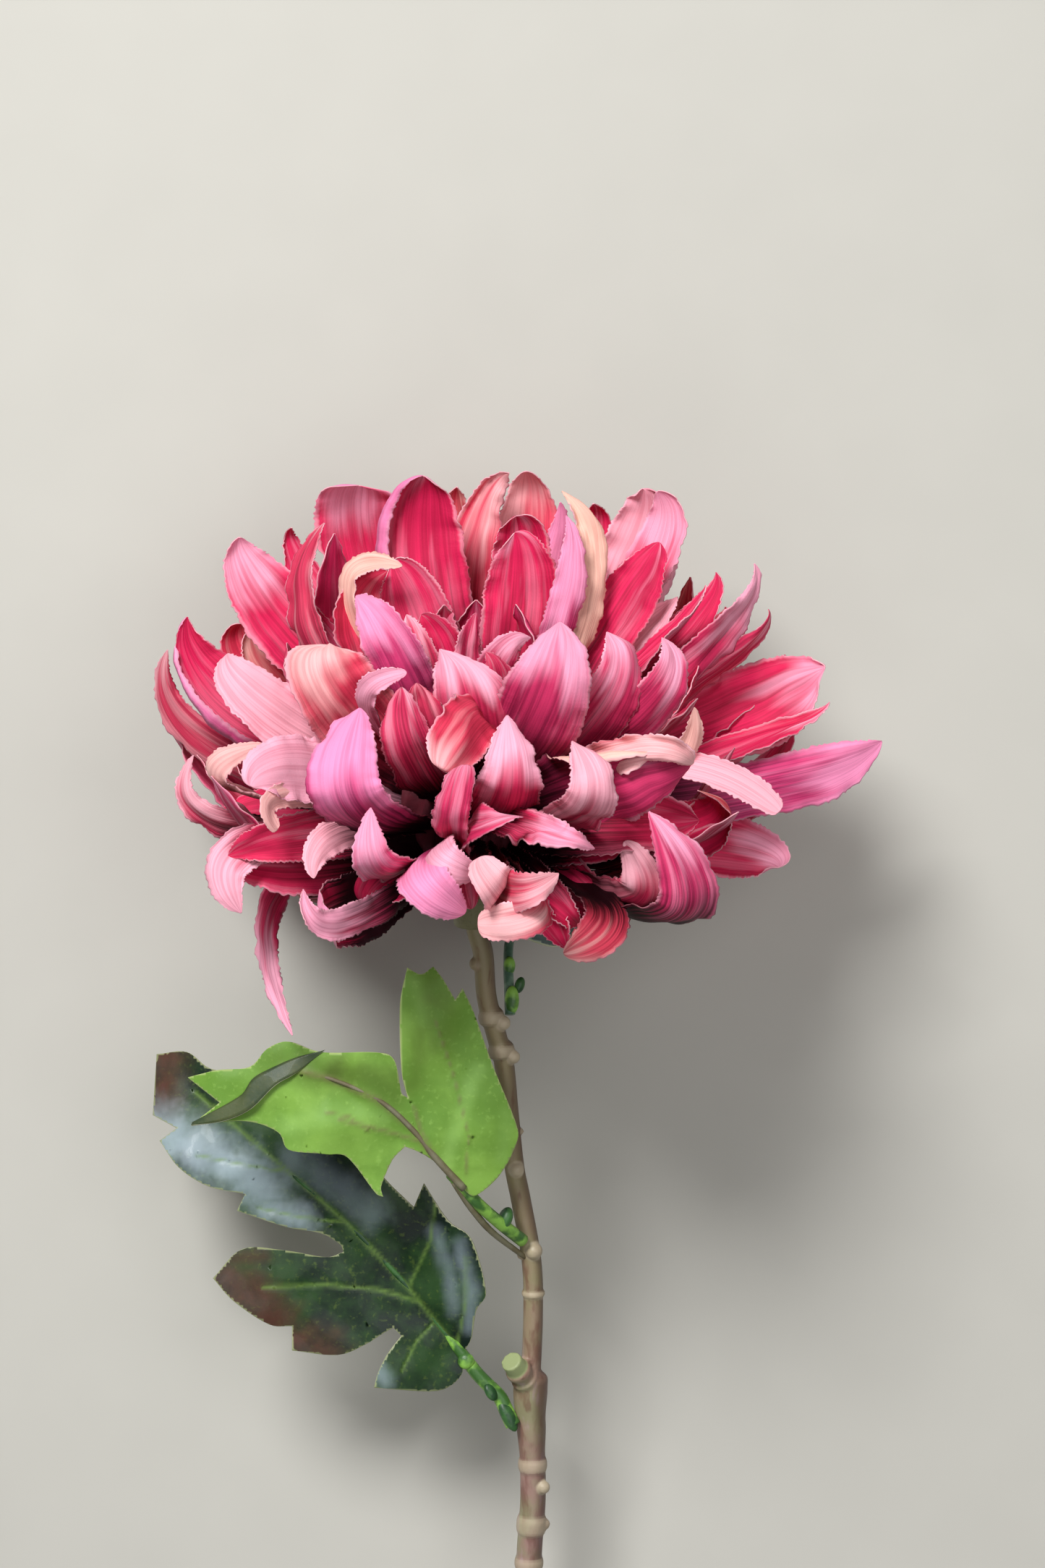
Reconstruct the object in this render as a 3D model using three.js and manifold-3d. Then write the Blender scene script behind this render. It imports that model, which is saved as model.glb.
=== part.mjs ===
// A cut chrysanthemum stem with one large bloom, lying on its back on a flat surface.
//
// The bloom is made of printed fabric petals, threaded on a moulded plastic stem that carries
// three lobed leaves on their petioles.
//
// Axes: +Y runs along the flower towards its crown, +X is the bloom's right, +Z is up, away from
// the surface. Everything is laid out round the heart, the point where the petals' roots meet,
// and the whole group is then set down with its origin under the middle of its box.

import * as THREE from 'three';
import { mergeVertices } from 'three/addons/utils/BufferGeometryUtils.js';
import Module from 'manifold-3d';

const wasm = await Module();
wasm.setup();

// Driving dimensions, in millimetres and degrees
const heartHeight = 62;        // the heart of the bloom above the surface
const flowerTilt = 13;         // the flower's axis rises this much from the surface
const eyeHeight = 800;         // the plan is drawn as seen from here, straight above
const eyeX = 10.2;
const eyeY = 11.5;
const petalThickness = 0.7;
const petalRootWidth = 0.26;   // of the full width
const petalWidest = 0.62;      // how far along a petal is widest
const petalTipWidth = 0.16;
const petalRootRing = 4;       // distance of the petals' roots from the axis
const leafThickness = 0.8;
const seatGap = 0.3;           // left between pieces that touch
const upperStemRadius = 2.15;
const lowerStemRadius = 2.8;
const stemEndY = -242;         // cut end, on the plan
const stemSlope = 0.2464;      // fall of the stem per millimetre of plan
const petalCells = [1, 5];     // facets across and along a petal

const colours = {
  petal: 0xc03a62,
  calyx: 0x5f7a3a,
  stem: 0x857a55,
  darkLeaf: 0x23452f,
  paleLeaf: 0x7fae45,
  backLeaf: 0x4d6b5c,
};

const radians = THREE.MathUtils.degToRad;
const flowerAxis = new THREE.Vector3(0, Math.cos(radians(flowerTilt)), Math.sin(radians(flowerTilt)));
const eye = new THREE.Vector3(eyeX, eyeY, eyeHeight);

// A point of the plan at height z: what is nearer the eye is drawn in towards the middle
function sight(x, y, z) {
  const scale = 1 - z / eyeHeight;
  return new THREE.Vector3(eyeX + (x - eyeX) * scale, eyeY + (y - eyeY) * scale, z);
}

function alongAxis(distance) {
  return flowerAxis.clone().multiplyScalar(distance);
}

// Solids and geometries

function solidOf(geometry) {
  const bare = new THREE.BufferGeometry();
  bare.setAttribute('position', geometry.getAttribute('position').clone());
  if (geometry.index) bare.setIndex(geometry.index.clone());
  const merged = mergeVertices(bare, 1e-4);
  const place = merged.getAttribute('position');
  const index = merged.index.array;
  const triangles = [];
  let volume = 0;
  const corners = [new THREE.Vector3(), new THREE.Vector3(), new THREE.Vector3()];
  for (let i = 0; i < index.length; i += 3) {
    const [a, b, c] = [index[i], index[i + 1], index[i + 2]];
    if (a === b || b === c || c === a) continue;
    triangles.push(a, b, c);
    [a, b, c].forEach((vertex, corner) => corners[corner].fromBufferAttribute(place, vertex));
    volume += corners[0].dot(corners[1].clone().cross(corners[2]));
  }
  if (volume < 0) triangles.reverse();
  return new wasm.Manifold(new wasm.Mesh({
    numProp: 3,
    vertProperties: new Float32Array(place.array),
    triVerts: new Uint32Array(triangles),
  }));
}

function geometryOf(solid) {
  const mesh = solid.getMesh();
  const geometry = new THREE.BufferGeometry();
  geometry.setAttribute('position', new THREE.BufferAttribute(new Float32Array(mesh.vertProperties), 3));
  geometry.setIndex(new THREE.BufferAttribute(new Uint32Array(mesh.triVerts), 1));
  geometry.computeVertexNormals();
  return geometry;
}

function joined(solids) {
  return solids.reduce((whole, piece) => whole.add(piece));
}

function largestPiece(solid) {
  return solid.decompose().reduce((best, piece) => (piece.volume() > best.volume() ? piece : best));
}

// Gives an open sheet its thickness: both faces keep the sheet's own triangles
function thicken(sheet, thickness) {
  sheet.computeVertexNormals();
  const place = sheet.getAttribute('position');
  const normal = sheet.getAttribute('normal');
  const index = sheet.index.array;
  const count = place.count;
  const positions = new Float32Array(count * 6);
  const point = new THREE.Vector3();
  const out = new THREE.Vector3();
  for (let i = 0; i < count; i++) {
    out.fromBufferAttribute(normal, i).multiplyScalar(thickness / 2);
    point.fromBufferAttribute(place, i).add(out).toArray(positions, i * 3);
    point.addScaledVector(out, -2).toArray(positions, (count + i) * 3);
  }
  const edges = new Set();
  for (let i = 0; i < index.length; i++) {
    const next = i % 3 === 2 ? i - 2 : i + 1;
    edges.add(`${index[i]} ${index[next]}`);
  }
  const triangles = [];
  for (let i = 0; i < index.length; i += 3) {
    const corners = [index[i], index[i + 1], index[i + 2]];
    triangles.push(...corners, corners[2] + count, corners[1] + count, corners[0] + count);
    corners.forEach((a, corner) => {
      const b = corners[(corner + 1) % 3];
      if (edges.has(`${b} ${a}`)) return;
      triangles.push(b, a, a + count, b, a + count, b + count);
    });
  }
  const slab = new THREE.BufferGeometry();
  slab.setAttribute('position', new THREE.BufferAttribute(positions, 3));
  slab.setIndex(triangles);
  return slab;
}

// A round rod along a smooth curve through the points
function rod(points, radius, sides, steps) {
  const ring = [];
  for (let i = 0; i < sides; i++) {
    const angle = (i / sides) * 2 * Math.PI;
    ring.push(new THREE.Vector2(Math.cos(angle) * radius, Math.sin(angle) * radius));
  }
  return new THREE.ExtrudeGeometry(new THREE.Shape(ring), {
    steps,
    bevelEnabled: false,
    extrudePath: new THREE.CatmullRomCurve3(points),
  });
}

// A turned shape standing on a point, its own axis along a direction
function turned(profile, sides, place, direction) {
  const shape = new THREE.LatheGeometry(profile.map(([r, h]) => new THREE.Vector2(r, h)), sides);
  const turn = new THREE.Quaternion().setFromUnitVectors(new THREE.Vector3(0, 1, 0), direction);
  return shape.applyQuaternion(turn).translate(place.x, place.y, place.z);
}

function ball(place, radius, stretch = [1, 1, 1]) {
  return new THREE.SphereGeometry(radius, 7, 5).scale(...stretch).translate(place.x, place.y, place.z);
}

// Petals

// Presses what would lie below the surface flat onto it. Both depths are from the heart.
const pressFrom = 57;
const pressTo = heartHeight - petalThickness / 2 + 0.45;
function pressed(point) {
  const depth = -point.z;
  if (depth <= pressFrom) return point;
  const room = pressTo - pressFrom;
  point.z = -(pressFrom + room * Math.tanh((depth - pressFrom) / room));
  return point;
}

function petalWidth(s) {
  if (s < petalWidest) {
    const rise = Math.sin((s / petalWidest) * (Math.PI / 2)) ** 1.3;
    return petalRootWidth + (1 - petalRootWidth) * rise;
  }
  const fall = (s - petalWidest) / (1 - petalWidest);
  return Math.max(petalTipWidth, (1 - fall ** 2.3) ** 0.72);
}

// One petal: its midrib runs from the root past the belly to the tip, and "outward" gives the
// direction that its outer face looks in, near the tip, from the point and tangent there
function petalSheet({ tip, belly, width, cup, outward }) {
  const out = belly.clone().addScaledVector(flowerAxis, -belly.dot(flowerAxis)).normalize();
  const lean = THREE.MathUtils.clamp(belly.clone().normalize().dot(flowerAxis), 0, 1);
  const root = out.clone().multiplyScalar(petalRootRing).add(alongAxis(1 + 9 * lean));
  const bellyAt = 0.6;
  const handle = belly.clone()
    .addScaledVector(root, -((1 - bellyAt) ** 2))
    .addScaledVector(tip, -(bellyAt ** 2))
    .divideScalar(2 * bellyAt * (1 - bellyAt));
  const midrib = new THREE.QuadraticBezierCurve3(root, handle, tip);
  const [across, along] = petalCells;
  const stations = [];
  for (let i = 0; i <= along; i++) {
    const s = (i / along) ** 0.8;
    stations.push({ s, point: midrib.getPointAt(s), tangent: midrib.getTangentAt(s) });
  }
  const faceAt = along - 1;
  stations[faceAt].outer = outward(stations[faceAt].point, stations[faceAt].tangent);
  const carry = (from, to) => {
    to.outer = from.outer.clone().addScaledVector(to.tangent, -from.outer.dot(to.tangent)).normalize();
  };
  for (let i = faceAt + 1; i <= along; i++) carry(stations[i - 1], stations[i]);
  for (let i = faceAt - 1; i >= 0; i--) carry(stations[i + 1], stations[i]);
  const sheet = new THREE.PlaneGeometry(2, 1, across, along);
  const place = sheet.getAttribute('position');
  for (let i = 0; i < place.count; i++) {
    const station = stations[along - Math.floor(i / (across + 1))];
    const v = place.getX(i);
    const side = station.tangent.clone().cross(station.outer);
    const half = petalWidth(station.s) * width / 2;
    const point = station.point.clone()
      .addScaledVector(side, half * Math.sin(cup * v) / cup)
      .addScaledVector(station.outer, -half * (1 - Math.cos(cup * v)) / cup);
    place.setXYZ(i, ...pressed(point));
  }
  return sheet;
}

// Petals that the eye above sees, one a line, on the plan:
// tip x, y, height; belly x, y, height; width; facing; cup.
// Facing 0 turns the outer face to the eye and 180 the inner one; cup is in radians.
const shownPetals = [
  // tall back petals of the crown, inner faces up
  [-23, 74, -25, -21.5, 57, -32, 18, 180, 0.5],
  [-11, 76, -12, -12, 59, -20, 21.5, 172, 0.5],
  [-4, 74, -30, -4, 60, -34, 17, 180, 0.5],
  [6, 77, -24, 4, 60, -30, 13, 150, 0.6],
  [11, 77, -28, 10, 62, -34, 18, 185, 0.6],
  [7.5, 67.5, -12, 9, 55, -20, 16, 180, 0.6],
  [9, 64, -6, 11, 51, -12, 15, 180, 0.6],
  [17.5, 70, -8, 17.5, 57, -12, 12, 20, 0.5],
  [18.5, 73, 0, 25, 58, -2, 10, 60, 0.7],
  [19.5, 67, 2, 19.5, 53, 2, 9, 30, 0.6],
  [26, 71, -36, 24, 59, -40, 17, 180, 0.5],
  [35, 73, -22, 31.5, 59, -26, 18, 180, 0.5],
  [39, 72.5, -12, 38, 59, -14, 16, 150, 0.5],
  [38, 62, -2, 32, 51, -2, 14, 150, 0.5],
  // upper left
  [-48.5, 63, -20, -43, 50, -22, 14, -150, 0.5],
  [-38, 66, -36, -35, 55, -38, 12, -160, 0.5],
  [-31, 66, -4, -35, 37, 4, 9, -45, 0.7],
  [-60, 46.5, -4, -56, 29, -4, 15, -135, 0.6],
  [-64, 39, -16, -58, 22, -18, 10, -40, 0.5],
  [-50.5, 45, -38, -46, 35, -38, 15, -160, 0.5],
  [-45.5, 43.5, -28, -41, 34, -26, 15, -150, 0.5],
  [-51.5, 39, 14, -43.5, 29, 20, 15, -150, 0.4],
  [-27, 41.5, 24, -30, 31, 28, 18, -170, 0.5],
  [-24.5, 51, 24, -19.5, 38, 30, 13, -30, 0.5],
  [-15, 57, 8, -24.5, 47, -2, 13, 150, 0.5],
  [-16.5, 58.5, -2, -10.5, 45, -4, 15, 170, 0.5],
  [-14.5, 47, 14, -12, 38, 18, 9, -20, 0.5],
  [-12, 46.5, 8, -7.5, 38, 8, 11, 175, 0.5],
  // middle, outer faces up
  [18, 45, 42, 16, 31, 46, 17, 0, 0.5],
  [-7.5, 39.5, 34, -1, 27, 42, 16, -10, 0.4],
  [28, 43, 34, 29, 33, 40, 14, 10, 0.5],
  [39.5, 41.5, 32, 39.5, 30, 38, 12, 25, 0.5],
  [12, 42, 24, 9.5, 35, 26, 11, 0, 0.5],
  [1, 48, 12, -0.5, 38, 16, 7, 20, 0.5],
  [2.5, 39, 28, 5, 32, 28, 10, 10, 0.6],
  [-23.5, 28.5, 46, -14, 34.5, 36, 9, 160, 0.4],
  [-15, 32, 40, -14, 18, 46, 15, -15, 0.7],
  [-24, 27, 46, -29, 8, 54, 15, -25, 0.5],
  [-6.5, 13.5, 57, 3, 26, 46, 11, 175, 0.3],
  [7.5, 25.5, 48, 9, 9, 54, 14, 5, 0.5],
  [-2.5, 16, 60, -3.5, -0.5, 59, 8, -20, 0.7],
  [21, 20.5, 52, 23, 6, 57, 11, 10, 0.6],
  [45.5, 16.5, 36, 33, 14, 44, 15, 30, 0.4],
  [46, 26.5, 36, 42, 20, 38, 9, 40, 0.5],
  [64.5, 6, 34, 54, 15.5, 34, 9, 150, 0.4],
  [8.5, 8.5, 60, 1, 1, 58, 10, -60, 0.8],
  [25, -2.5, 58, 13.5, 2, 60, 10, 160, 0.5],
  // right
  [42.5, 50.5, -4, 36, 43, -2, 14, 140, 0.5],
  [50.5, 56, -8, 45.5, 44, -6, 11, 140, 0.6],
  [48.5, 53, 4, 41.5, 43.5, 4, 8, 120, 0.6],
  [58.5, 57.5, 2, 54.5, 44, 2, 9, 45, 0.8],
  [61.5, 48, -14, 55, 38, -12, 11, 60, 0.6],
  [52.5, 48.5, -16, 46.5, 40.5, -14, 13, 130, 0.5],
  [73, 35.5, -16, 62.5, 32.5, -18, 17, 145, 0.4],
  [74.5, 28.5, -6, 64, 21.5, -6, 10, 130, 0.5],
  [85, 20.5, -10, 70, 13, -8, 15, 30, 0.5],
  [52.5, 13, 22, 50, 1.5, 14, 14, 150, 0.5],
  [63.5, -7, -14, 55.5, -4, -16, 15, 145, 0.4],
  [36.5, 5.5, 48, 44.5, -12, 46, 14, 20, 0.5],
  [32, 0, 40, 34, -10, 38, 9, -20, 0.5],
  [33.5, -15, 50, 20, -22, 46, 12, 10, 0.6],
  // low front petals, their tips curled up
  [2.5, -4.5, 58, 6, -12, 58, 9, 0, 0.6],
  [18, -7, 57, 9, -14, 58, 12, 10, 0.6],
  [1, -19.5, 54, 9.5, -17, 52, 9, 10, 0.4],
  [-1.5, -14, 58, -12, -4.5, 60, 14, 0, 0.8],
  // lower left
  [-45, 20, 26, -53.5, 10, 20, 10, -40, 0.5],
  [-58.5, 17.5, 8, -55, 5, 8, 8, -50, 0.5],
  [-41, 8, 40, -37.5, 21.5, 30, 15, 175, 0.3],
  [-41, 2, 36, -39.5, 9, 32, 6, 170, 0.3],
  [-48, -5.5, 20, -41, -1.5, 24, 11, -150, 0.6],
  [-53.5, -0.5, 18, -50, -12, 20, 10, -30, 0.5],
  [-29.5, 1, 46, -33, -7, 44, 8, -20, 0.5],
  [-21.5, 6.5, 58, -19, -7, 58, 12, -10, 0.6],
  [-36, -17, 42, -27, -13.5, 36, 14, -170, 0.6],
  [-37, -41, 12, -42.5, -13, 8, 7, -150, 0.5],
  [-54, 2, 2, -45, 5, 2, 15, -150, 0.5],
];

function shownPetal([tipX, tipY, tipZ, bellyX, bellyY, bellyZ, width, facing, cup]) {
  const outward = (point, tangent) => {
    const toEye = eye.clone().sub(point);
    const face = toEye.addScaledVector(tangent, -toEye.dot(tangent)).normalize();
    return face.applyAxisAngle(tangent, radians(facing));
  };
  return petalSheet({
    tip: sight(tipX, tipY, tipZ),
    belly: sight(bellyX, bellyY, bellyZ),
    width,
    cup,
    outward,
  });
}

// The side that lies on the surface: rings of petals round the axis, from one flank to the other
// by the back. Each ring: lean of the tips from the axis, length, count, width, and where its arc
// starts and ends, in degrees round the axis with 0 towards the eye and 90 to the right.
const hiddenRings = [
  [24, 62, 4, 15, 112, 250],
  [46, 70, 5, 16, 112, 250],
  [66, 79, 7, 17, 112, 250],
  [86, 80, 8, 17, 112, 250],
  [104, 66, 5, 16, 152, 250],
];

let randomState = 20;
function nextRandom() {
  randomState = (Math.imul(randomState, 1664525) + 1013904223) >>> 0;
  return randomState / 2 ** 32 - 0.5;
}

function axisFrame(lean, turn) {
  const towardsEye = new THREE.Vector3(0, -flowerAxis.z, flowerAxis.y);
  const out = towardsEye.multiplyScalar(Math.cos(radians(turn)));
  out.x = Math.sin(radians(turn));
  const direction = out.clone().multiplyScalar(Math.sin(radians(lean)));
  return direction.addScaledVector(flowerAxis, Math.cos(radians(lean)));
}

function hiddenPetal(lean, length, turn, width) {
  const outward = (point, tangent) => {
    const out = point.clone().addScaledVector(flowerAxis, -point.dot(flowerAxis));
    return flowerAxis.clone().cross(out).cross(tangent).normalize();
  };
  const curl = 14 + 20 * nextRandom();
  return petalSheet({
    tip: axisFrame(lean - curl / 2, turn).multiplyScalar(length),
    belly: axisFrame(lean + curl / 2, turn).multiplyScalar(length * 0.66),
    width,
    cup: 0.5 + 0.3 * nextRandom(),
    outward,
  });
}

function hiddenPetals() {
  const sheets = [];
  hiddenRings.forEach(([lean, length, count, width, from, to], ring) => {
    for (let i = 0; i < count; i++) {
      const part = (i + (ring % 2 ? 0.5 : 0)) / count;
      const turn = from + (to - from) * part + 8 * nextRandom();
      const tipLean = lean + 10 * nextRandom();
      const reach = length * (1 + 0.1 * nextRandom());
      sheets.push(hiddenPetal(tipLean, reach, turn, width * (1 + 0.2 * nextRandom())));
    }
  });
  return sheets;
}

// Turned shapes on the flower's axis: radius, then height above the heart. The calyx is a cup,
// open below for the stem's end; the core is the dark middle that the petals stand out of.
const calyxProfile = [
  [0, -9], [7.5, -9], [8.6, -10], [7.6, -13], [5.2, -16.5], [4.7, -18.5],
  [3.3, -18.5], [3.3, -12.5], [0, -12.5],
];
const coreProfile = [
  [0, -8.6], [12, -8.6], [21, -1], [26, 9], [24.5, 21], [15, 31], [0, 34],
];

function calyx() {
  return turned(calyxProfile, 20, new THREE.Vector3(), flowerAxis);
}

function roomForCalyx() {
  const room = [
    [0, -9 + seatGap], [7.8, -9 + seatGap], [9.1, -9.9], [8.1, -13.2], [5.7, -16.8], [5.2, -24], [0, -24],
  ];
  return turned(room, 20, new THREE.Vector3(), flowerAxis);
}

function surfaceBlock() {
  const wide = 600;
  return new THREE.BoxGeometry(wide, wide, wide).translate(0, 0, -heartHeight - wide / 2);
}

function bloom() {
  const core = turned(coreProfile, 10, new THREE.Vector3(), flowerAxis);
  const sheets = [...shownPetals.map(shownPetal), ...hiddenPetals()];
  const petals = sheets.map((sheet) => solidOf(thicken(sheet, petalThickness)));
  const head = joined([solidOf(core), ...petals]);
  return largestPiece(head.subtract(solidOf(roomForCalyx())).subtract(solidOf(surfaceBlock())));
}

// Stem: turned straight, with its rings and the flared knot, then bent along its line, with
// knobs and the stub of a cut branch fused to it

const stemPlan = [
  [0, -12.5], [0.5, -18.5], [2, -24], [2.7, -32.9], [4.8, -41.1], [6.3, -46.5], [7.4, -58],
  [8.5, -68.4], [9.8, -75], [12.1, -88.2], [12.4, -100], [11.8, -116.4], [12.1, -124.7],
  [12.4, -137.1], [11.6, -149.5], [11, -170], [9.6, -195], [8.6, -220], [8, stemEndY],
];
const knotY = -114;

function stemAt(y) {
  const next = Math.max(1, stemPlan.findIndex((point) => point[1] <= y));
  const [x0, y0] = stemPlan[next - 1];
  const [x1, y1] = stemPlan[next];
  const x = x0 + (x1 - x0) * (y - y0) / (y1 - y0);
  const direction = sight(x0, y0, stemSlope * y0).sub(sight(x1, y1, stemSlope * y1)).normalize();
  return { place: sight(x, y, stemSlope * y), direction };
}

// A ring round the stem: y on the plan, radius, length
const rings = [
  [-37.2, 2.8, 2.6], [-44.2, 2.9, 2.6], [-94.8, 2.55, 1.4], [-130.5, 3.2, 2.4],
  [-143, 3.3, 3.6], [-151, 3.2, 2.2], [-172, 3.3, 3], [-198, 3.3, 2.6], [-222, 3.3, 3],
];
// A knob: y on the plan, radius, and its offset from the stem's middle, to the right and up
const knobs = [
  [-26, 1.5, -1.7, 0.6], [-38.3, 1.6, 2.2, 1.2], [-45.4, 1.5, 2.2, 1.2], [-61, 0.7, 2.2, 0],
  [-68.8, 1.6, 0.4, 1.9], [-85.8, 1.9, 0.8, 1.6], [-86.8, 0.9, -2.1, 0.9],
  [-135, 1.5, 2.2, 1.9], [-143, 1.3, 2.8, 0], [-174, 1.5, -2.4, 1], [-200, 1.6, 1.6, 2.2],
];
const plainStations = [-18, -23, -30, -52, -60, -70, -78, -87, -105, -136, -160, -185, -210, -232];
const flare = [
  [knotY - 15, lowerStemRadius], [knotY - 8, 3.2], [knotY - 1, 3.75], [knotY + 1.5, 3.75],
  [knotY + 3.4, upperStemRadius],
];

function stemProfile() {
  const bare = (y) => (y < knotY ? lowerStemRadius : upperStemRadius);
  const swellings = rings.flatMap(([y, radius, length]) => {
    const half = length / 2;
    return [[y - half, bare(y)], [y - half * 0.6, radius], [y + half * 0.5, radius * 0.96], [y + half, bare(y)]];
  });
  const plain = plainStations.map((y) => [y, bare(y)]);
  const ends = [[stemEndY, lowerStemRadius], [stemPlan[0][1], upperStemRadius]];
  return [...ends, ...plain, ...swellings, ...flare].sort((a, b) => a[0] - b[0]);
}

function bentStem() {
  const profile = stemProfile();
  const outline = [
    new THREE.Vector2(0, profile[0][0]),
    ...profile.map(([y, radius]) => new THREE.Vector2(radius, y)),
    new THREE.Vector2(0, profile[profile.length - 1][0]),
  ];
  const geometry = new THREE.LatheGeometry(outline, 8, Math.PI / 8);
  const vertices = geometry.getAttribute('position');
  const across = new THREE.Vector3(1, 0, 0);
  for (let i = 0; i < vertices.count; i++) {
    const { place, direction } = stemAt(vertices.getY(i));
    const side = across.clone().addScaledVector(direction, -across.dot(direction)).normalize();
    const up = side.clone().cross(direction);
    place.addScaledVector(side, vertices.getX(i)).addScaledVector(up, vertices.getZ(i));
    vertices.setXYZ(i, ...place);
  }
  return geometry;
}

function stem() {
  const pieces = [bentStem()];
  for (const [y, radius, across, up] of knobs) {
    const { place } = stemAt(y);
    pieces.push(ball(place.add(new THREE.Vector3(across, 0, up)), radius));
  }
  const stubDirection = new THREE.Vector3(-0.42, 0.62, 0.66).normalize();
  const stub = [
    [0, -1], [2.9, -1], [2.9, 3.4], [2.2, 3.7], [2.2, 5.2], [2.55, 5.4], [2.55, 6.6], [2.1, 6.9],
    [2, 10], [0, 10],
  ];
  pieces.push(turned(stub, 8, stemAt(knotY).place, stubDirection));
  return joined(pieces.map(solidOf)).subtract(solidOf(surfaceBlock()));
}

// Leaves

// A lobed blade as seen from above, its outline on the plan and its height from a formula, with
// its petiole and midrib fused to it
function leaf({ outline, height, cells, petiole, midrib, lobes = [] }) {
  const shape = new THREE.Shape(outline.map(([x, y]) => new THREE.Vector2(x, y)));
  const box = new THREE.Box2().setFromPoints(shape.getPoints());
  const size = box.getSize(new THREE.Vector2()).addScalar(2);
  const middle = box.getCenter(new THREE.Vector2());
  const flat = new THREE.PlaneGeometry(size.x, size.y, ...cells).translate(middle.x, middle.y, 0);
  const prism = new THREE.ExtrudeGeometry(shape, { depth: 4, bevelEnabled: false }).translate(0, 0, -2);
  const blade = solidOf(thicken(flat, leafThickness)).intersect(solidOf(prism));
  const bent = blade.warp((vertex) => {
    const point = sight(vertex[0], vertex[1], height(vertex[0], vertex[1]));
    vertex[0] = point.x;
    vertex[1] = point.y;
    vertex[2] += point.z;
  });
  const rib = midrib.map(([x, y]) => sight(x, y, height(x, y) - 0.2));
  const pieces = [bent, solidOf(rod(rib, 0.7, 5, 7))];
  const stalk = petiole.map(([x, y, z]) => sight(x, y, z));
  pieces.push(solidOf(rod([...stalk, rib[0], rib[1]], 1.05, 6, 8)));
  for (const [x, y, z, radius, ...stretch] of lobes) {
    pieces.push(solidOf(ball(sight(x, y, z), radius, stretch)));
  }
  return joined(pieces);
}

// Distance along a line from a base point, and to its right
function alongAndBeside([baseX, baseY], angle) {
  const [c, s] = [Math.cos(radians(angle)), Math.sin(radians(angle))];
  return (x, y) => [(x - baseX) * c + (y - baseY) * s, (x - baseX) * s - (y - baseY) * c];
}

function leafLower() {
  const outline = [
    [-2.2, -107.5], [-2.7, -112], [-7.7, -115.2], [-20.8, -114.5], [-20, -111.5], [-18.1, -107.7],
    [-15.1, -103.7], [-16.8, -102], [-18.6, -103], [-23, -105.7], [-28.5, -107.7], [-37.9, -106.8],
    [-37.9, -101.6], [-42.7, -101.3], [-50, -96.6], [-54.4, -91.7], [-48.3, -85.6], [-39.4, -85.9],
    [-30.7, -87.3], [-27.2, -86.2], [-27.9, -84.6], [-31.9, -82.3], [-39.4, -80.9], [-49.4, -77.6],
    [-47.7, -74.1], [-55.4, -72.5], [-61.5, -68.6], [-65.5, -63.1], [-61.9, -60.4], [-66.9, -57.7],
    [-66.1, -45], [-59.8, -44.5], [-54.8, -48], [-42, -51], [-36, -58], [-27, -60], [-19.2, -70.2],
    [-12.5, -76.9], [-10.4, -71.9], [-5.4, -79.6], [-0.5, -83.5], [2.6, -94.7], [0.6, -98.3],
    [-0.5, -104.3],
  ];
  const alongLeaf = alongAndBeside([-2.7, -107], 136);
  const height = (x, y) => {
    const [s, beside] = alongLeaf(x, y);
    const arch = -27 + 4 * Math.sin((s / 55) * Math.PI / 2) - 14 * Math.max(0, (s - 50) / 40) ** 2;
    const fold = beside > 0 ? 0.5 * beside * Math.max(0, 1 - s / 80) : -0.12 * beside;
    return arch + fold + 0.8 * Math.sin(s / 5) * Math.min(1, Math.abs(beside) / 14);
  };
  return leaf({
    outline,
    height,
    cells: [7, 7],
    midrib: [[-3.5, -106], [-13.6, -93.6], [-26.4, -80], [-38.5, -69.5], [-49, -60.4], [-58, -53]],
    petiole: [[8.3, -122.4, -27.6], [6.8, -119.3, -28], [5.3, -116.3, -28], [0.8, -111.7, -27.5]],
    lobes: [[7.2, -120.4, -28, 1.6, 0.9, 2.2, 0.7], [-1.6, -109, -27, 1.7, 1.3, 1.1, 0.7]],
  });
}

function leafUpper() {
  const outline = [
    [-0.8, -74.2], [-5.3, -69.5], [-10, -66], [-14.3, -64.2], [-17, -67], [-19.3, -72.5], [-18.9, -74.7],
    [-20.4, -74], [-26.4, -66.4], [-31, -65.7], [-38.5, -64.9], [-40.8, -61.2], [-47.6, -58.9],
    [-58.9, -59.6], [-53, -55], [-59.6, -49.8], [-53.6, -48.3], [-46.8, -47.6], [-43, -43.8], [-38.5, -42.3],
    [-31.7, -44.5], [-20.4, -44.5], [-16.6, -46], [-15.1, -52.9], [-13.8, -54], [-15.1, -48.3],
    [-15.4, -34.7], [-13.6, -27.2], [-8.3, -27.2], [-4.5, -34], [-2.3, -31], [0, -36.2],
    [3.8, -46.8], [9.1, -60.4], [8.3, -64.9], [5.3, -70.2], [1.4, -73.8],
  ];
  const alongLeaf = alongAndBeside([-1, -74], 140);
  const height = (x, y) => {
    const [s, beside] = alongLeaf(x, y);
    const arch = -4 + 7 * Math.sin(Math.min(1, s / 45) * Math.PI / 2) - 12 * Math.max(0, (s - 40) / 30) ** 2;
    const roll = -0.006 * beside * beside;
    return arch + roll + 0.8 * Math.sin(s / 4) * Math.min(1, Math.abs(beside) / 12);
  };
  return leaf({
    outline,
    height,
    cells: [8, 6],
    midrib: [[-2, -73], [-8, -66.5], [-13, -60.4], [-20, -54.4], [-30, -50], [-40, -47.5]],
    petiole: [[10.2, -83.8, -17.3], [5.3, -80, -11.5], [1.2, -76.4, -7]],
    lobes: [[6.6, -79.6, -13.6, 2.2, 1.2, 0.9, 0.7]],
  });
}

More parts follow.
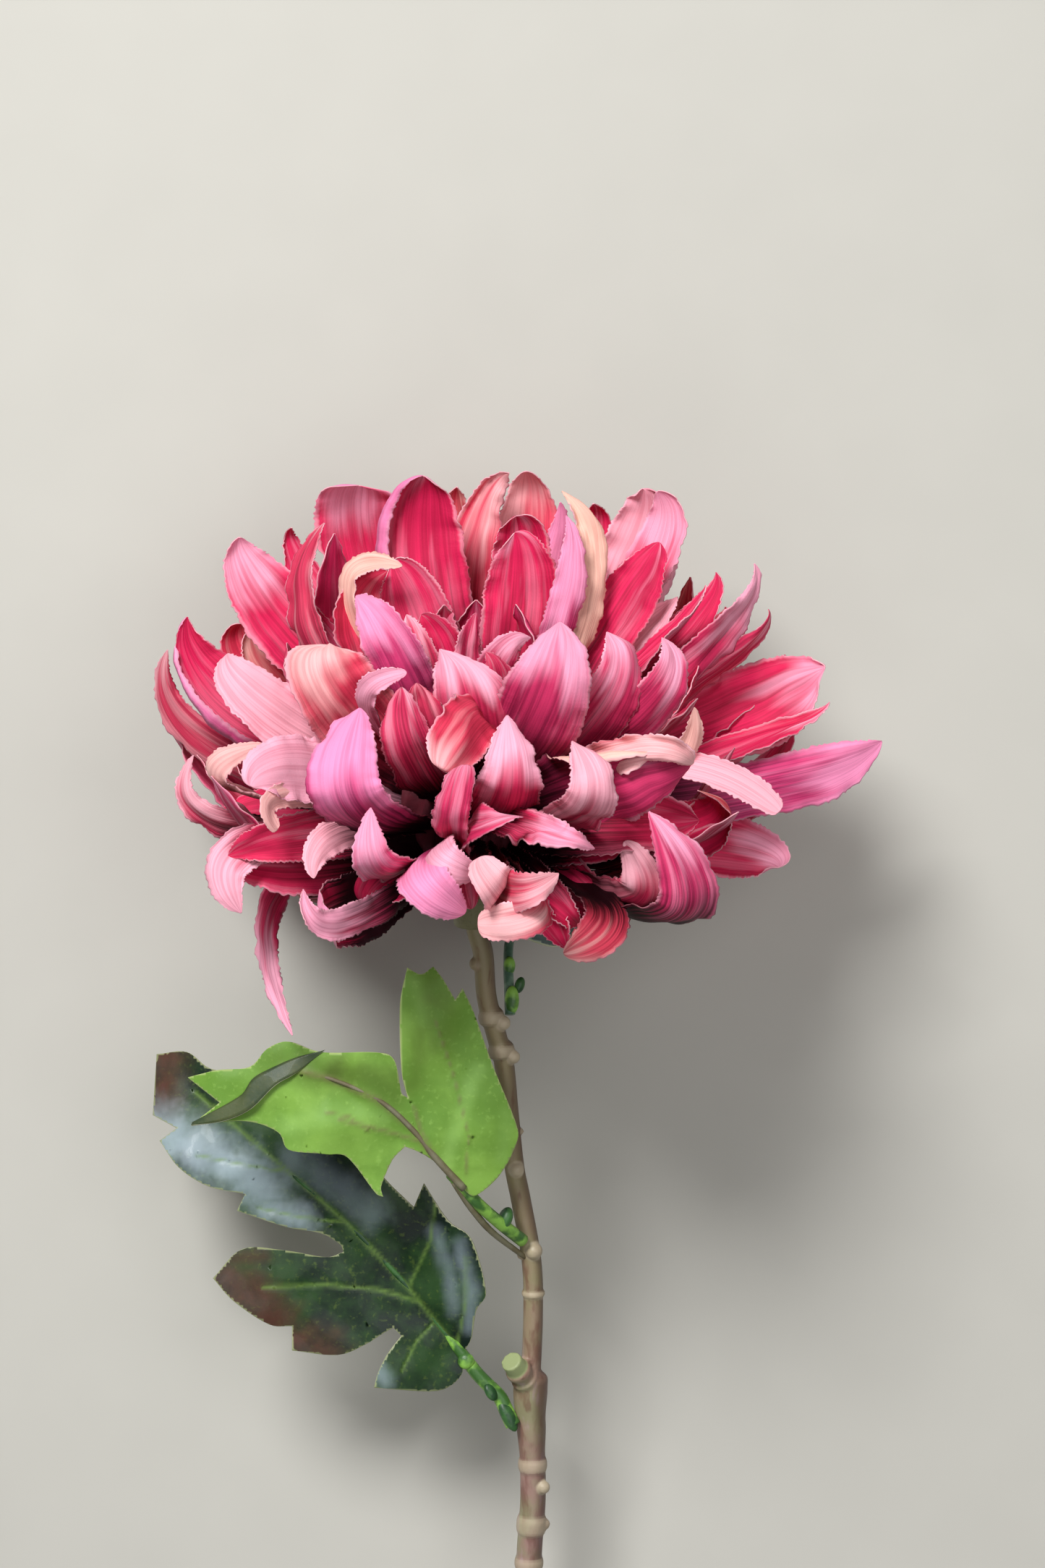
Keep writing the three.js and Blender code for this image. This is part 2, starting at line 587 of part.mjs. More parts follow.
function leafBack() {
  const outline = [
    [8.6, -19.5], [13, -21.5], [17.5, -22.4], [21, -20], [27, -21.4], [29, -16.6], [34, -13.5],
    [29, -10.5], [25.5, -8.2], [19, -9.2], [12.6, -11.4], [9, -14.4],
  ];
  const height = (x, y) => -20 - 0.5 * (x - 9) + 0.05 * (y + 15) * (y + 15);
  return leaf({
    outline,
    height,
    cells: [3, 2],
    midrib: [[9.6, -18.2], [15, -15.4], [21, -13.4], [27, -12.4]],
    petiole: [[7.6, -36.6, -11.3], [7.4, -31, -13], [7.2, -25.5, -15.5], [7.6, -21, -18.6]],
    lobes: [[8, -33.6, -11.6, 1.7, 0.9, 2, 0.8], [7.5, -26.4, -14.6, 1.4, 0.9, 1.4, 0.8]],
  });
}

// The assembly

const group = new THREE.Group();

function addPiece(name, geometry, colour, roughness) {
  const material = new THREE.MeshStandardMaterial({ color: colour, roughness, metalness: 0 });
  const mesh = new THREE.Mesh(geometry, material);
  mesh.name = name;
  group.add(mesh);
}

addPiece('bloom', geometryOf(bloom()), colours.petal, 0.75);
addPiece('calyx', geometryOf(solidOf(calyx())), colours.calyx, 0.5);
addPiece('stem', geometryOf(stem()), colours.stem, 0.45);
addPiece('leaf_lower', geometryOf(leafLower()), colours.darkLeaf, 0.4);
addPiece('leaf_upper', geometryOf(leafUpper()), colours.paleLeaf, 0.5);
addPiece('leaf_back', geometryOf(leafBack()), colours.backLeaf, 0.45);

const box = new THREE.Box3().setFromObject(group);
const middle = box.getCenter(new THREE.Vector3());
group.position.set(-middle.x, -middle.y, heartHeight);

export default group;
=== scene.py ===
# A cut artificial chrysanthemum, lying on its back: printed fabric petals on a moulded stem with
# three printed leaves. Lengths in the dictionaries are millimetres from the heart of the bloom,
# the point where the petals' roots meet, and angles are degrees.
from bisect import bisect_left
from math import cos, exp, hypot, pi, radians, sin, sqrt, tanh
from random import Random

import bmesh
import bpy
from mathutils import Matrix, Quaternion, Vector, noise
from mathutils.geometry import interpolate_bezier, intersect_point_line


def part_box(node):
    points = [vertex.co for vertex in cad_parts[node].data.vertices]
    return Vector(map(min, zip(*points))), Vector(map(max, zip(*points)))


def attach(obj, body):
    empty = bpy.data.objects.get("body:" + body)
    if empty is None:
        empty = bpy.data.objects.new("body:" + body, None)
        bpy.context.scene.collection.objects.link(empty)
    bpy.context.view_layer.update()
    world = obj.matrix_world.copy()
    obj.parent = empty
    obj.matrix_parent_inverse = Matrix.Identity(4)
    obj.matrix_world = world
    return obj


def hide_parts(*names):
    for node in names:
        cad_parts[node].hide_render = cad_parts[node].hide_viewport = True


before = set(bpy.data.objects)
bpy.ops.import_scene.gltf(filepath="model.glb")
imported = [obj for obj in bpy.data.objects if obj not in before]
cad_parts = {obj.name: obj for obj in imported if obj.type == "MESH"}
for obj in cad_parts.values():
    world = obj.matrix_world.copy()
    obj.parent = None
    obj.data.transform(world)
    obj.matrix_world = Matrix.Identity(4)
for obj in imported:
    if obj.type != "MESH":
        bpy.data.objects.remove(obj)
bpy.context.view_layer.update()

mm = 0.001
flowerTilt = radians(13)                # how far the bloom's axis rises from the surface
flowerAxis = Vector((0, cos(flowerTilt), sin(flowerTilt)))
eye = Vector((10.2, 11.5, 800))         # where the plan is seen from
calyxLow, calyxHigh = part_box("calyx")
calyxRim = {"top": (7.5, -9), "side": (8.6, -10)}     # radius, then height along the axis
heart = Vector((
    (calyxLow.x + calyxHigh.x) / 2,
    calyxHigh.y - (calyxRim["top"][0] * sin(flowerTilt) + calyxRim["top"][1] * cos(flowerTilt)) * mm,
    calyxHigh.z - (calyxRim["side"][0] * cos(flowerTilt) + calyxRim["side"][1] * sin(flowerTilt)) * mm,
))


# A point of the plan at a height: what is nearer the eye is drawn in towards the middle
def sight(x, y, z):
    scale = 1 - z / eye.z
    return Vector((eye.x + (x - eye.x) * scale, eye.y + (y - eye.y) * scale, z))


def smooth(value, low, high):
    t = min(1, max(0, (value - low) / (high - low)))
    return t * t * (3 - 2 * t)


# Sets a shape down in the frame, in metres, as a piece that stands for a CAD node
def finish(name, bm, materials, node):
    for vert in bm.verts:
        vert.co = heart + vert.co * mm
    mesh = bpy.data.meshes.new(name)
    for face in bm.faces:
        face.smooth = True
    bm.to_mesh(mesh)
    bm.free()
    for material in materials:
        mesh.materials.append(material)
    piece = bpy.data.objects.new(name, mesh)
    bpy.context.scene.collection.objects.link(piece)
    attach(piece, "root")
    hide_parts(node)
    return piece


def addWall(piece, thickness, innerOffset=1, rimOffset=2):
    wall = piece.modifiers.new("wall", "SOLIDIFY")
    wall.thickness = thickness * mm
    wall.offset = 0
    wall.material_offset = innerOffset
    wall.material_offset_rim = rimOffset


def srgb(red, green, blue):
    def linear(value):
        value /= 255
        return value / 12.92 if value <= 0.04045 else ((value + 0.055) / 1.055) ** 2.4
    return (linear(red), linear(green), linear(blue), 1)


# A socket that Python's operators work on; node() adds any other node
class Wire:
    def __init__(self, tree, socket=None):
        self.tree = tree
        self.socket = socket

    def node(self, kind, settings={}, inputs={}, output=0):
        made = self.tree.nodes.new("ShaderNode" + kind)
        for name, value in settings.items():
            setattr(made, name, value)
        for name, value in inputs.items():
            if isinstance(value, Wire):
                self.tree.links.new(value.socket, made.inputs[name])
            else:
                made.inputs[name].default_value = value
        return Wire(self.tree, made.outputs[output] if made.outputs else None)

    def other(self, output):
        return Wire(self.tree, self.socket.node.outputs[output])

    def maths(self, operation, first, second):
        return self.node("Math", {"operation": operation}, {0: first, 1: second})

    def __add__(self, value):
        return self.maths("ADD", self, value)

    def __radd__(self, value):
        return self.maths("ADD", value, self)

    def __sub__(self, value):
        return self.maths("SUBTRACT", self, value)

    def __rsub__(self, value):
        return self.maths("SUBTRACT", value, self)

    def __mul__(self, value):
        return self.maths("MULTIPLY", self, value)

    def __rmul__(self, value):
        return self.maths("MULTIPLY", value, self)

    def __abs__(self):
        return self.node("Math", {"operation": "ABSOLUTE"}, {0: self})


def startMaterial(name):
    material = bpy.data.materials.new(name)
    material.use_nodes = True
    material.node_tree.nodes.clear()
    return material, Wire(material.node_tree)


def endMaterial(wire, colour, roughness, height, bump, **constants):
    relief = wire.node("Bump", inputs={"Height": height, "Strength": bump[0], "Distance": bump[1] * mm})
    surface = {"Base Color": colour, "Roughness": roughness, "Normal": relief}
    surface.update({name.replace("_", " "): value for name, value in constants.items()})
    shader = wire.node("BsdfPrincipled", inputs=surface)
    wire.node("OutputMaterial", inputs={"Surface": shader})


def blend(wire, first, second, factor):
    return wire.node("Mix", {"data_type": "RGBA"}, {0: factor, 6: first, 7: second}, output=2)


# 0 below the low value, 1 above the high one
def step(wire, value, low, high):
    return wire.node("MapRange", {"interpolation_type": "SMOOTHSTEP"}, {0: value, 1: low, 2: high})


def attribute(wire, name):
    return wire.node("Attribute", {"attribute_name": name}, output="Fac")


def objectPlace(wire):
    return wire.node("TexCoord", output="Object")


def cloud(wire, vector, scale, detail=2, roughness=0.5):
    return wire.node("TexNoise", inputs={
        "Vector": vector, "Scale": scale, "Detail": detail, "Roughness": roughness,
    })


# Each face's sheen number sets how strong its painted highlight patches are
petalDye = {    # each dye between the stripes, then in a stripe
    "outer": {
        "plain": ((212, 46, 92), (112, 8, 40)),
        "lilac": ((214, 66, 124), (112, 18, 70)),
        "salmon": ((204, 66, 78), (132, 22, 42)),
        "tip": (250, 178, 202), "lilacTip": (252, 146, 194), "salmonTip": (250, 202, 182),
        "root": (22, 0, 5), "edge": (252, 190, 208), "tipFrom": 0.93, "paintedSheen": 0.5, "stripe": 0.4,
    },
    "inner": {
        "plain": ((226, 36, 90), (118, 2, 28)),
        "lilac": ((226, 62, 124), (128, 12, 60)),
        "salmon": ((210, 68, 82), (128, 18, 34)),
        "tip": (250, 172, 200), "lilacTip": (248, 160, 204), "salmonTip": (250, 204, 184),
        "root": (22, 0, 5), "edge": (252, 186, 204), "tipFrom": 0.98, "paintedSheen": 0.36, "stripe": 0.26,
    },
}


def petalMaterial(name, face):
    dye = petalDye[face]
    material, wire = startMaterial(name)
    surfaceMap = wire.node("UVMap", {"uv_map": "petalMap"})
    across = wire.node("SeparateXYZ", inputs={"Vector": surfaceMap})
    length = across.other("Y")
    across = across * 2 - 1
    tone = attribute(wire, face + "Tone")
    seed = attribute(wire, "petalSeed")
    paleness = attribute(wire, face + "Pale")
    dark = attribute(wire, "petalRootShade")

    def printed(acrossScale, lengthScale, detail, start=0):
        vector = wire.node("CombineXYZ", inputs={
            "X": across * acrossScale + start, "Y": length * lengthScale, "Z": seed * 31,
        })
        return cloud(wire, vector, 1, detail)

    stripes = step(wire, printed(13, 1.6, 2), 0.38, 0.64)
    fineStripes = printed(34, 2.6, 2)
    patches = printed(1.5, 2.6, 2)
    # Pale patches are painted sheen: the fabric's highlights laid into the colour
    paintedSheenPatches = step(wire, printed(2.6, 2.2, 3, 9), 0.48, 0.66)
    edgeWobble = printed(3.5, 5, 1)
    rim = abs(across)

    def body(pair):
        share = stripes * dye["stripe"] + (fineStripes - 0.3) * 0.6 + (patches - 0.48) * 1.2
        return blend(wire, srgb(*pair[0]), srgb(*pair[1]), share)

    lilac = step(wire, tone * -1, 0, 1)
    salmon = step(wire, tone, 0, 1)
    colour = blend(wire, body(dye["plain"]), body(dye["lilac"]), lilac)
    colour = blend(wire, colour, body(dye["salmon"]), salmon)
    tipColour = blend(wire, srgb(*dye["tip"]), srgb(*dye["lilacTip"]), lilac)
    tipColour = blend(wire, tipColour, srgb(*dye["salmonTip"]), salmon)
    # The painted sheen lies over the petal towards its tip
    paintedSheenShare = paintedSheenPatches * step(wire, length, 0.45, 0.7) * (dye["paintedSheen"] - fineStripes * 0.3)
    colour = blend(wire, colour, tipColour, paintedSheenShare)
    tipFrom = dye["tipFrom"] - 0.4 * paleness
    nearTip = length + (patches - 0.5) * 0.6 + (edgeWobble - 0.5) * 0.12
    tipShare = step(wire, nearTip - tipFrom, 0, 0.2) * (1 - stripes * 0.26 - fineStripes * 0.2)
    colour = blend(wire, colour, tipColour, tipShare)
    edgeShare = step(wire, rim + (edgeWobble - 0.5) * 0.3, 0.9, 1.0) * step(wire, length, 0.35, 0.65)
    colour = blend(wire, colour, srgb(*dye["edge"]), edgeShare * 0.4)
    # Towards the root the dye darkens to near black. This is partly the print's dark base and partly painted
    # shade deep in the bloom, and a petal's dark number carries it further up
    fromRoot = length + (patches - stripes * 0.4 - 0.3) * 0.2 + paleness * 0.05 - dark * 0.06
    rootDyeAndShadeShare = 1 - step(wire, fromRoot, dark * 0.16 + 0.28, 0.76)
    colour = blend(wire, colour, srgb(*dye["root"]), rootDyeAndShadeShare * 0.99)

    place = objectPlace(wire)
    weave = cloud(wire, place, 2600, 1)
    crimps = printed(1.0, 46, 2) * rim * rim
    creases = printed(2.5, 11, 1, 4)
    height = fineStripes * 0.22 + crimps * 0.8 + weave * 0.15 + patches * 0.4 + creases * 0.5
    roughness = 0.62 + (patches - 0.5) * 0.2
    endMaterial(wire, colour, roughness, height, (0.45, 0.45), Specular_IOR_Level=0.18)
    return material


def edgeMaterial():
    material, wire = startMaterial("petalCutEdge")
    fibres = cloud(wire, objectPlace(wire), 1800, 2)
    surfaceMap = wire.node("UVMap", {"uv_map": "petalMap"})
    length = wire.node("SeparateXYZ", inputs={"Vector": surfaceMap}, output="Y")
    colour = blend(wire, srgb(226, 128, 156), srgb(250, 204, 208), fibres)
    colour = blend(wire, srgb(92, 8, 30), colour, step(wire, length, 0.5, 0.95))
    endMaterial(wire, colour, fibres * 0.2 + 0.6, fibres, (0.3, 0.1))
    return material


petalMaterials = [
    petalMaterial("petalOuter", "outer"),
    petalMaterial("petalInner", "inner"),
    edgeMaterial(),
]
print("petal materials made")

petalCut = {
    "across": 12, "along": 128,          # facets
    "curvePoints": 160, "crowding": 1.25,    # the rows lie closer towards the tip
    "rootRing": 4, "rootRise": 1, "leanRise": 9,
    "bellyAt": 0.6,                      # how far along the midrib passes the belly
    "rootWidth": 0.26, "widest": 0.62, "tipWidth": 0.03, "swell": 1.3,
    "toMargins": 0.55,                   # how far the columns crowd towards the margins
    "facedAt": 0.84,                     # how far along the facing is set
    "curlGrowth": 1.2,                   # a curl tightens towards the tip
    "point": 2.1, "blunt": 0.55,         # how the width falls to the tip
    "teeth": 0.28, "ruffle": 0.6, "rufflePitch": 3.6, "wave": 0.75,
    "pleat": 0.06, "pleatPitch": 8.5, "flatBelow": 3,    # a narrow petal is ruffled less
    "thickness": 0.22,
    "pressFrom": 57, "pressTo": 61.6,    # depths below the heart
}
random = Random(7)


# What would lie below the surface is pressed flat onto it
def pressed(point):
    room = petalCut["pressTo"] - petalCut["pressFrom"]
    deeper = -point.z - petalCut["pressFrom"]
    if deeper > 0:
        point.z = -(petalCut["pressFrom"] + room * tanh(deeper / room))
    return point


def petalWidth(s, bluntness, widest):
    if s < widest:
        rise = sin(s / widest * pi / 2) ** petalCut["swell"]
        return petalCut["rootWidth"] + (1 - petalCut["rootWidth"]) * rise
    fall = (s - widest) / (1 - widest)
    share = (1 - fall ** (petalCut["point"] + bluntness)) ** (1 - petalCut["blunt"] * bluntness)
    return max(petalCut["tipWidth"], share)


# Points, tangents and outer directions along a petal's midrib, s running from 0 to 1
def midrib(tip, belly, outward, curl, curlFrom, count):
    out = (belly - flowerAxis * belly.dot(flowerAxis)).normalized()
    lean = min(1, max(0, belly.normalized().dot(flowerAxis)))
    root = out * petalCut["rootRing"] + flowerAxis * (petalCut["rootRise"] + petalCut["leanRise"] * lean)
    t = petalCut["bellyAt"]
    handle = (belly - root * (1 - t) ** 2 - tip * t ** 2) / (2 * t * (1 - t))
    curve = interpolate_bezier(root, root.lerp(handle, 2 / 3), tip.lerp(handle, 2 / 3), tip,
                               petalCut["curvePoints"])
    reach = [0]
    for before, after in zip(curve, curve[1:]):
        reach.append(reach[-1] + (after - before).length)
    length = reach[-1]
    stations = []
    for row in range(count + 1):
        s = 1 - (1 - row / count) ** petalCut["crowding"]
        after = min(len(curve) - 1, max(1, bisect_left(reach, s * length)))
        part = (s * length - reach[after - 1]) / (reach[after] - reach[after - 1])
        point = curve[after - 1].lerp(curve[after], part)
        low, high = max(0, after - 3), min(len(curve) - 1, after + 2)
        stations.append({"s": s, "point": point, "tangent": (curve[high] - curve[low]).normalized()})
    faced = min(range(count + 1), key=lambda row: abs(stations[row]["s"] - petalCut["facedAt"]))
    stations[faced]["outer"] = outward(stations[faced]["point"], stations[faced]["tangent"])
    for rows in (range(faced + 1, count + 1), range(faced - 1, -1, -1)):
        outer = stations[faced]["outer"]
        for row in rows:
            tangent = stations[row]["tangent"]
            outer = (outer - tangent * outer.dot(tangent)).normalized()
            stations[row]["outer"] = outer
    if curl:
        curlTip(stations, curl, curlFrom)
    return stations, length


# Bends the end of a petal further, towards its inner face where the angle is positive
def curlTip(stations, curl, curlFrom):
    steps = [after["point"] - before["point"] for before, after in zip(stations, stations[1:])]
    for row, station in enumerate(stations):
        past = (station["s"] - curlFrom) / (1 - curlFrom)
        if past <= 0:
            continue
        side = station["tangent"].cross(station["outer"])
        turn = Quaternion(side, -radians(curl) * past ** petalCut["curlGrowth"])
        station["tangent"] = turn @ station["tangent"]
        station["outer"] = turn @ station["outer"]
        station["point"] = stations[row - 1]["point"] + turn @ steps[row - 1]


# One petal as a grid, its outer face up: across it the arc of its cup, and margins that roll in
# where roll is positive; rollSide is -1, 0 for both, or 1. slant sets the tip nearer one margin
def addPetal(bm, layers, tip, belly, width, outward, cup, tone=0, facets=None, innerTone=None,
             curl=0, curlFrom=0.7, roll=0, rollSide=0, rollFrom=0.55, rollAt=(0.2, 1.0),
             pale=0, innerPale=None, dark=0, wavy=1, blunt=0.25, slant=0, widest=petalCut["widest"]):
    across, along = facets or (petalCut["across"], petalCut["along"])
    stations, length = midrib(tip, belly, outward, curl, curlFrom, along)
    seed = random.random()
    phase = seed * 40
    grid = bmesh.ops.create_grid(bm, x_segments=across, y_segments=along, size=1)["verts"]
    crowded = petalCut["toMargins"]
    columns = [(1 - crowded) * x + crowded * sin(x * pi / 2)
               for x in (2 * column / across - 1 for column in range(across + 1))]
    middle = across // 2
    for row, station in enumerate(stations):
        s = station["s"]
        half = petalWidth(s, blunt, widest) * width / 2
        shift = -slant * half * smooth(s, 0.2, 0.55)
        rolled = radians(roll) * smooth(s, rollAt[0], sum(rollAt) / 2)
        rolled *= 1 - smooth(s, rollAt[1], rollAt[1] + 0.15)

        def slope(u):
            side = 1 if u > 0 else -1
            extra = rolled * smooth(abs(u), rollFrom, 1) if rollSide in (0, side) else 0
            return -cup * u - side * extra

        section = [(0, 0)] * (across + 1)
        for columnRange in (range(middle + 1, across + 1), range(middle - 1, -1, -1)):
            x, y = 0, 0
            before = columns[middle]
            for column in columnRange:
                angle = slope((before + columns[column]) / 2)
                stepAcross = columns[column] - before
                x += cos(angle) * stepAcross
                y += sin(angle) * stepAcross
                section[column] = (x * half, y * half)
                before = columns[column]
        side = station["tangent"].cross(station["outer"])
        tooth = petalCut["teeth"] * smooth(s, 0.2, 0.4) * (1 - smooth(s, 0.96, 1))
        teeth = [tooth * random.uniform(-1.3, 0.7) for _ in range(2)]
        for column in range(across + 1):
            u = columns[column]
            angle = slope(u)
            edge = abs(u)
            x, y = section[column]
            x += teeth[1] * edge ** 8 if u > 0 else -teeth[0] * edge ** 8
            ruffle = noise.noise(Vector((s * length / petalCut["rufflePitch"], phase + u * 0.8, seed * 9)))
            ruffle *= petalCut["ruffle"] * 2 * edge ** 3 * smooth(s, 0.15, 0.45) * wavy
            wave = noise.noise(Vector((s * 3.2, u * 1.1, phase))) * petalCut["wave"] * 2
            wave *= smooth(s, 0.1, 0.6) * wavy * (1 - smooth(s, 0.9, 1) * 0.6)
            pleat = sin(u * petalCut["pleatPitch"] + phase + 1.5 * sin(s * 5 + phase))
            pleat *= petalCut["pleat"] * smooth(s, 0.05, 0.4) * (1 - smooth(s, 0.85, 1))
            crumple = noise.noise(Vector((s * 13, u * 2.2, phase + 5)))
            crumple *= (wavy - 0.7) * smooth(s, 0.3, 0.6)
            lift = (ruffle + wave + pleat + crumple) * min(1, half / petalCut["flatBelow"])
            point = station["point"] + side * (x + shift - sin(angle) * lift)
            point += station["outer"] * (y + cos(angle) * lift)
            vert = grid[row * (across + 1) + column]
            vert.co = pressed(point)
            vert[layers["outer"]] = tone
            vert[layers["inner"]] = tone if innerTone is None else innerTone
            vert[layers["seed"]] = seed
            vert[layers["dark"]] = dark
            vert[layers["outerPale"]] = pale
            vert[layers["innerPale"]] = pale if innerPale is None else innerPale
            for loop in vert.link_loops:
                loop[layers["map"]].uv = (u / 2 + 0.5, s)


def startPetals():
    bm = bmesh.new()
    return bm, {
        "map": bm.loops.layers.uv.new("petalMap"),
        "outer": bm.verts.layers.float.new("outerTone"),
        "inner": bm.verts.layers.float.new("innerTone"),
        "seed": bm.verts.layers.float.new("petalSeed"),
        # how far a petal's dark root, partly painted shade, reaches up it
        "dark": bm.verts.layers.float.new("petalRootShade"),
        "outerPale": bm.verts.layers.float.new("outerPale"),
        "innerPale": bm.verts.layers.float.new("innerPale"),
    }


# The outer direction that looks to the eye, turned about the petal's length
def facing(angle):
    def outward(point, tangent):
        toEye = eye - point
        face = (toEye - tangent * toEye.dot(tangent)).normalized()
        return Quaternion(tangent, radians(angle)) @ face
    return outward
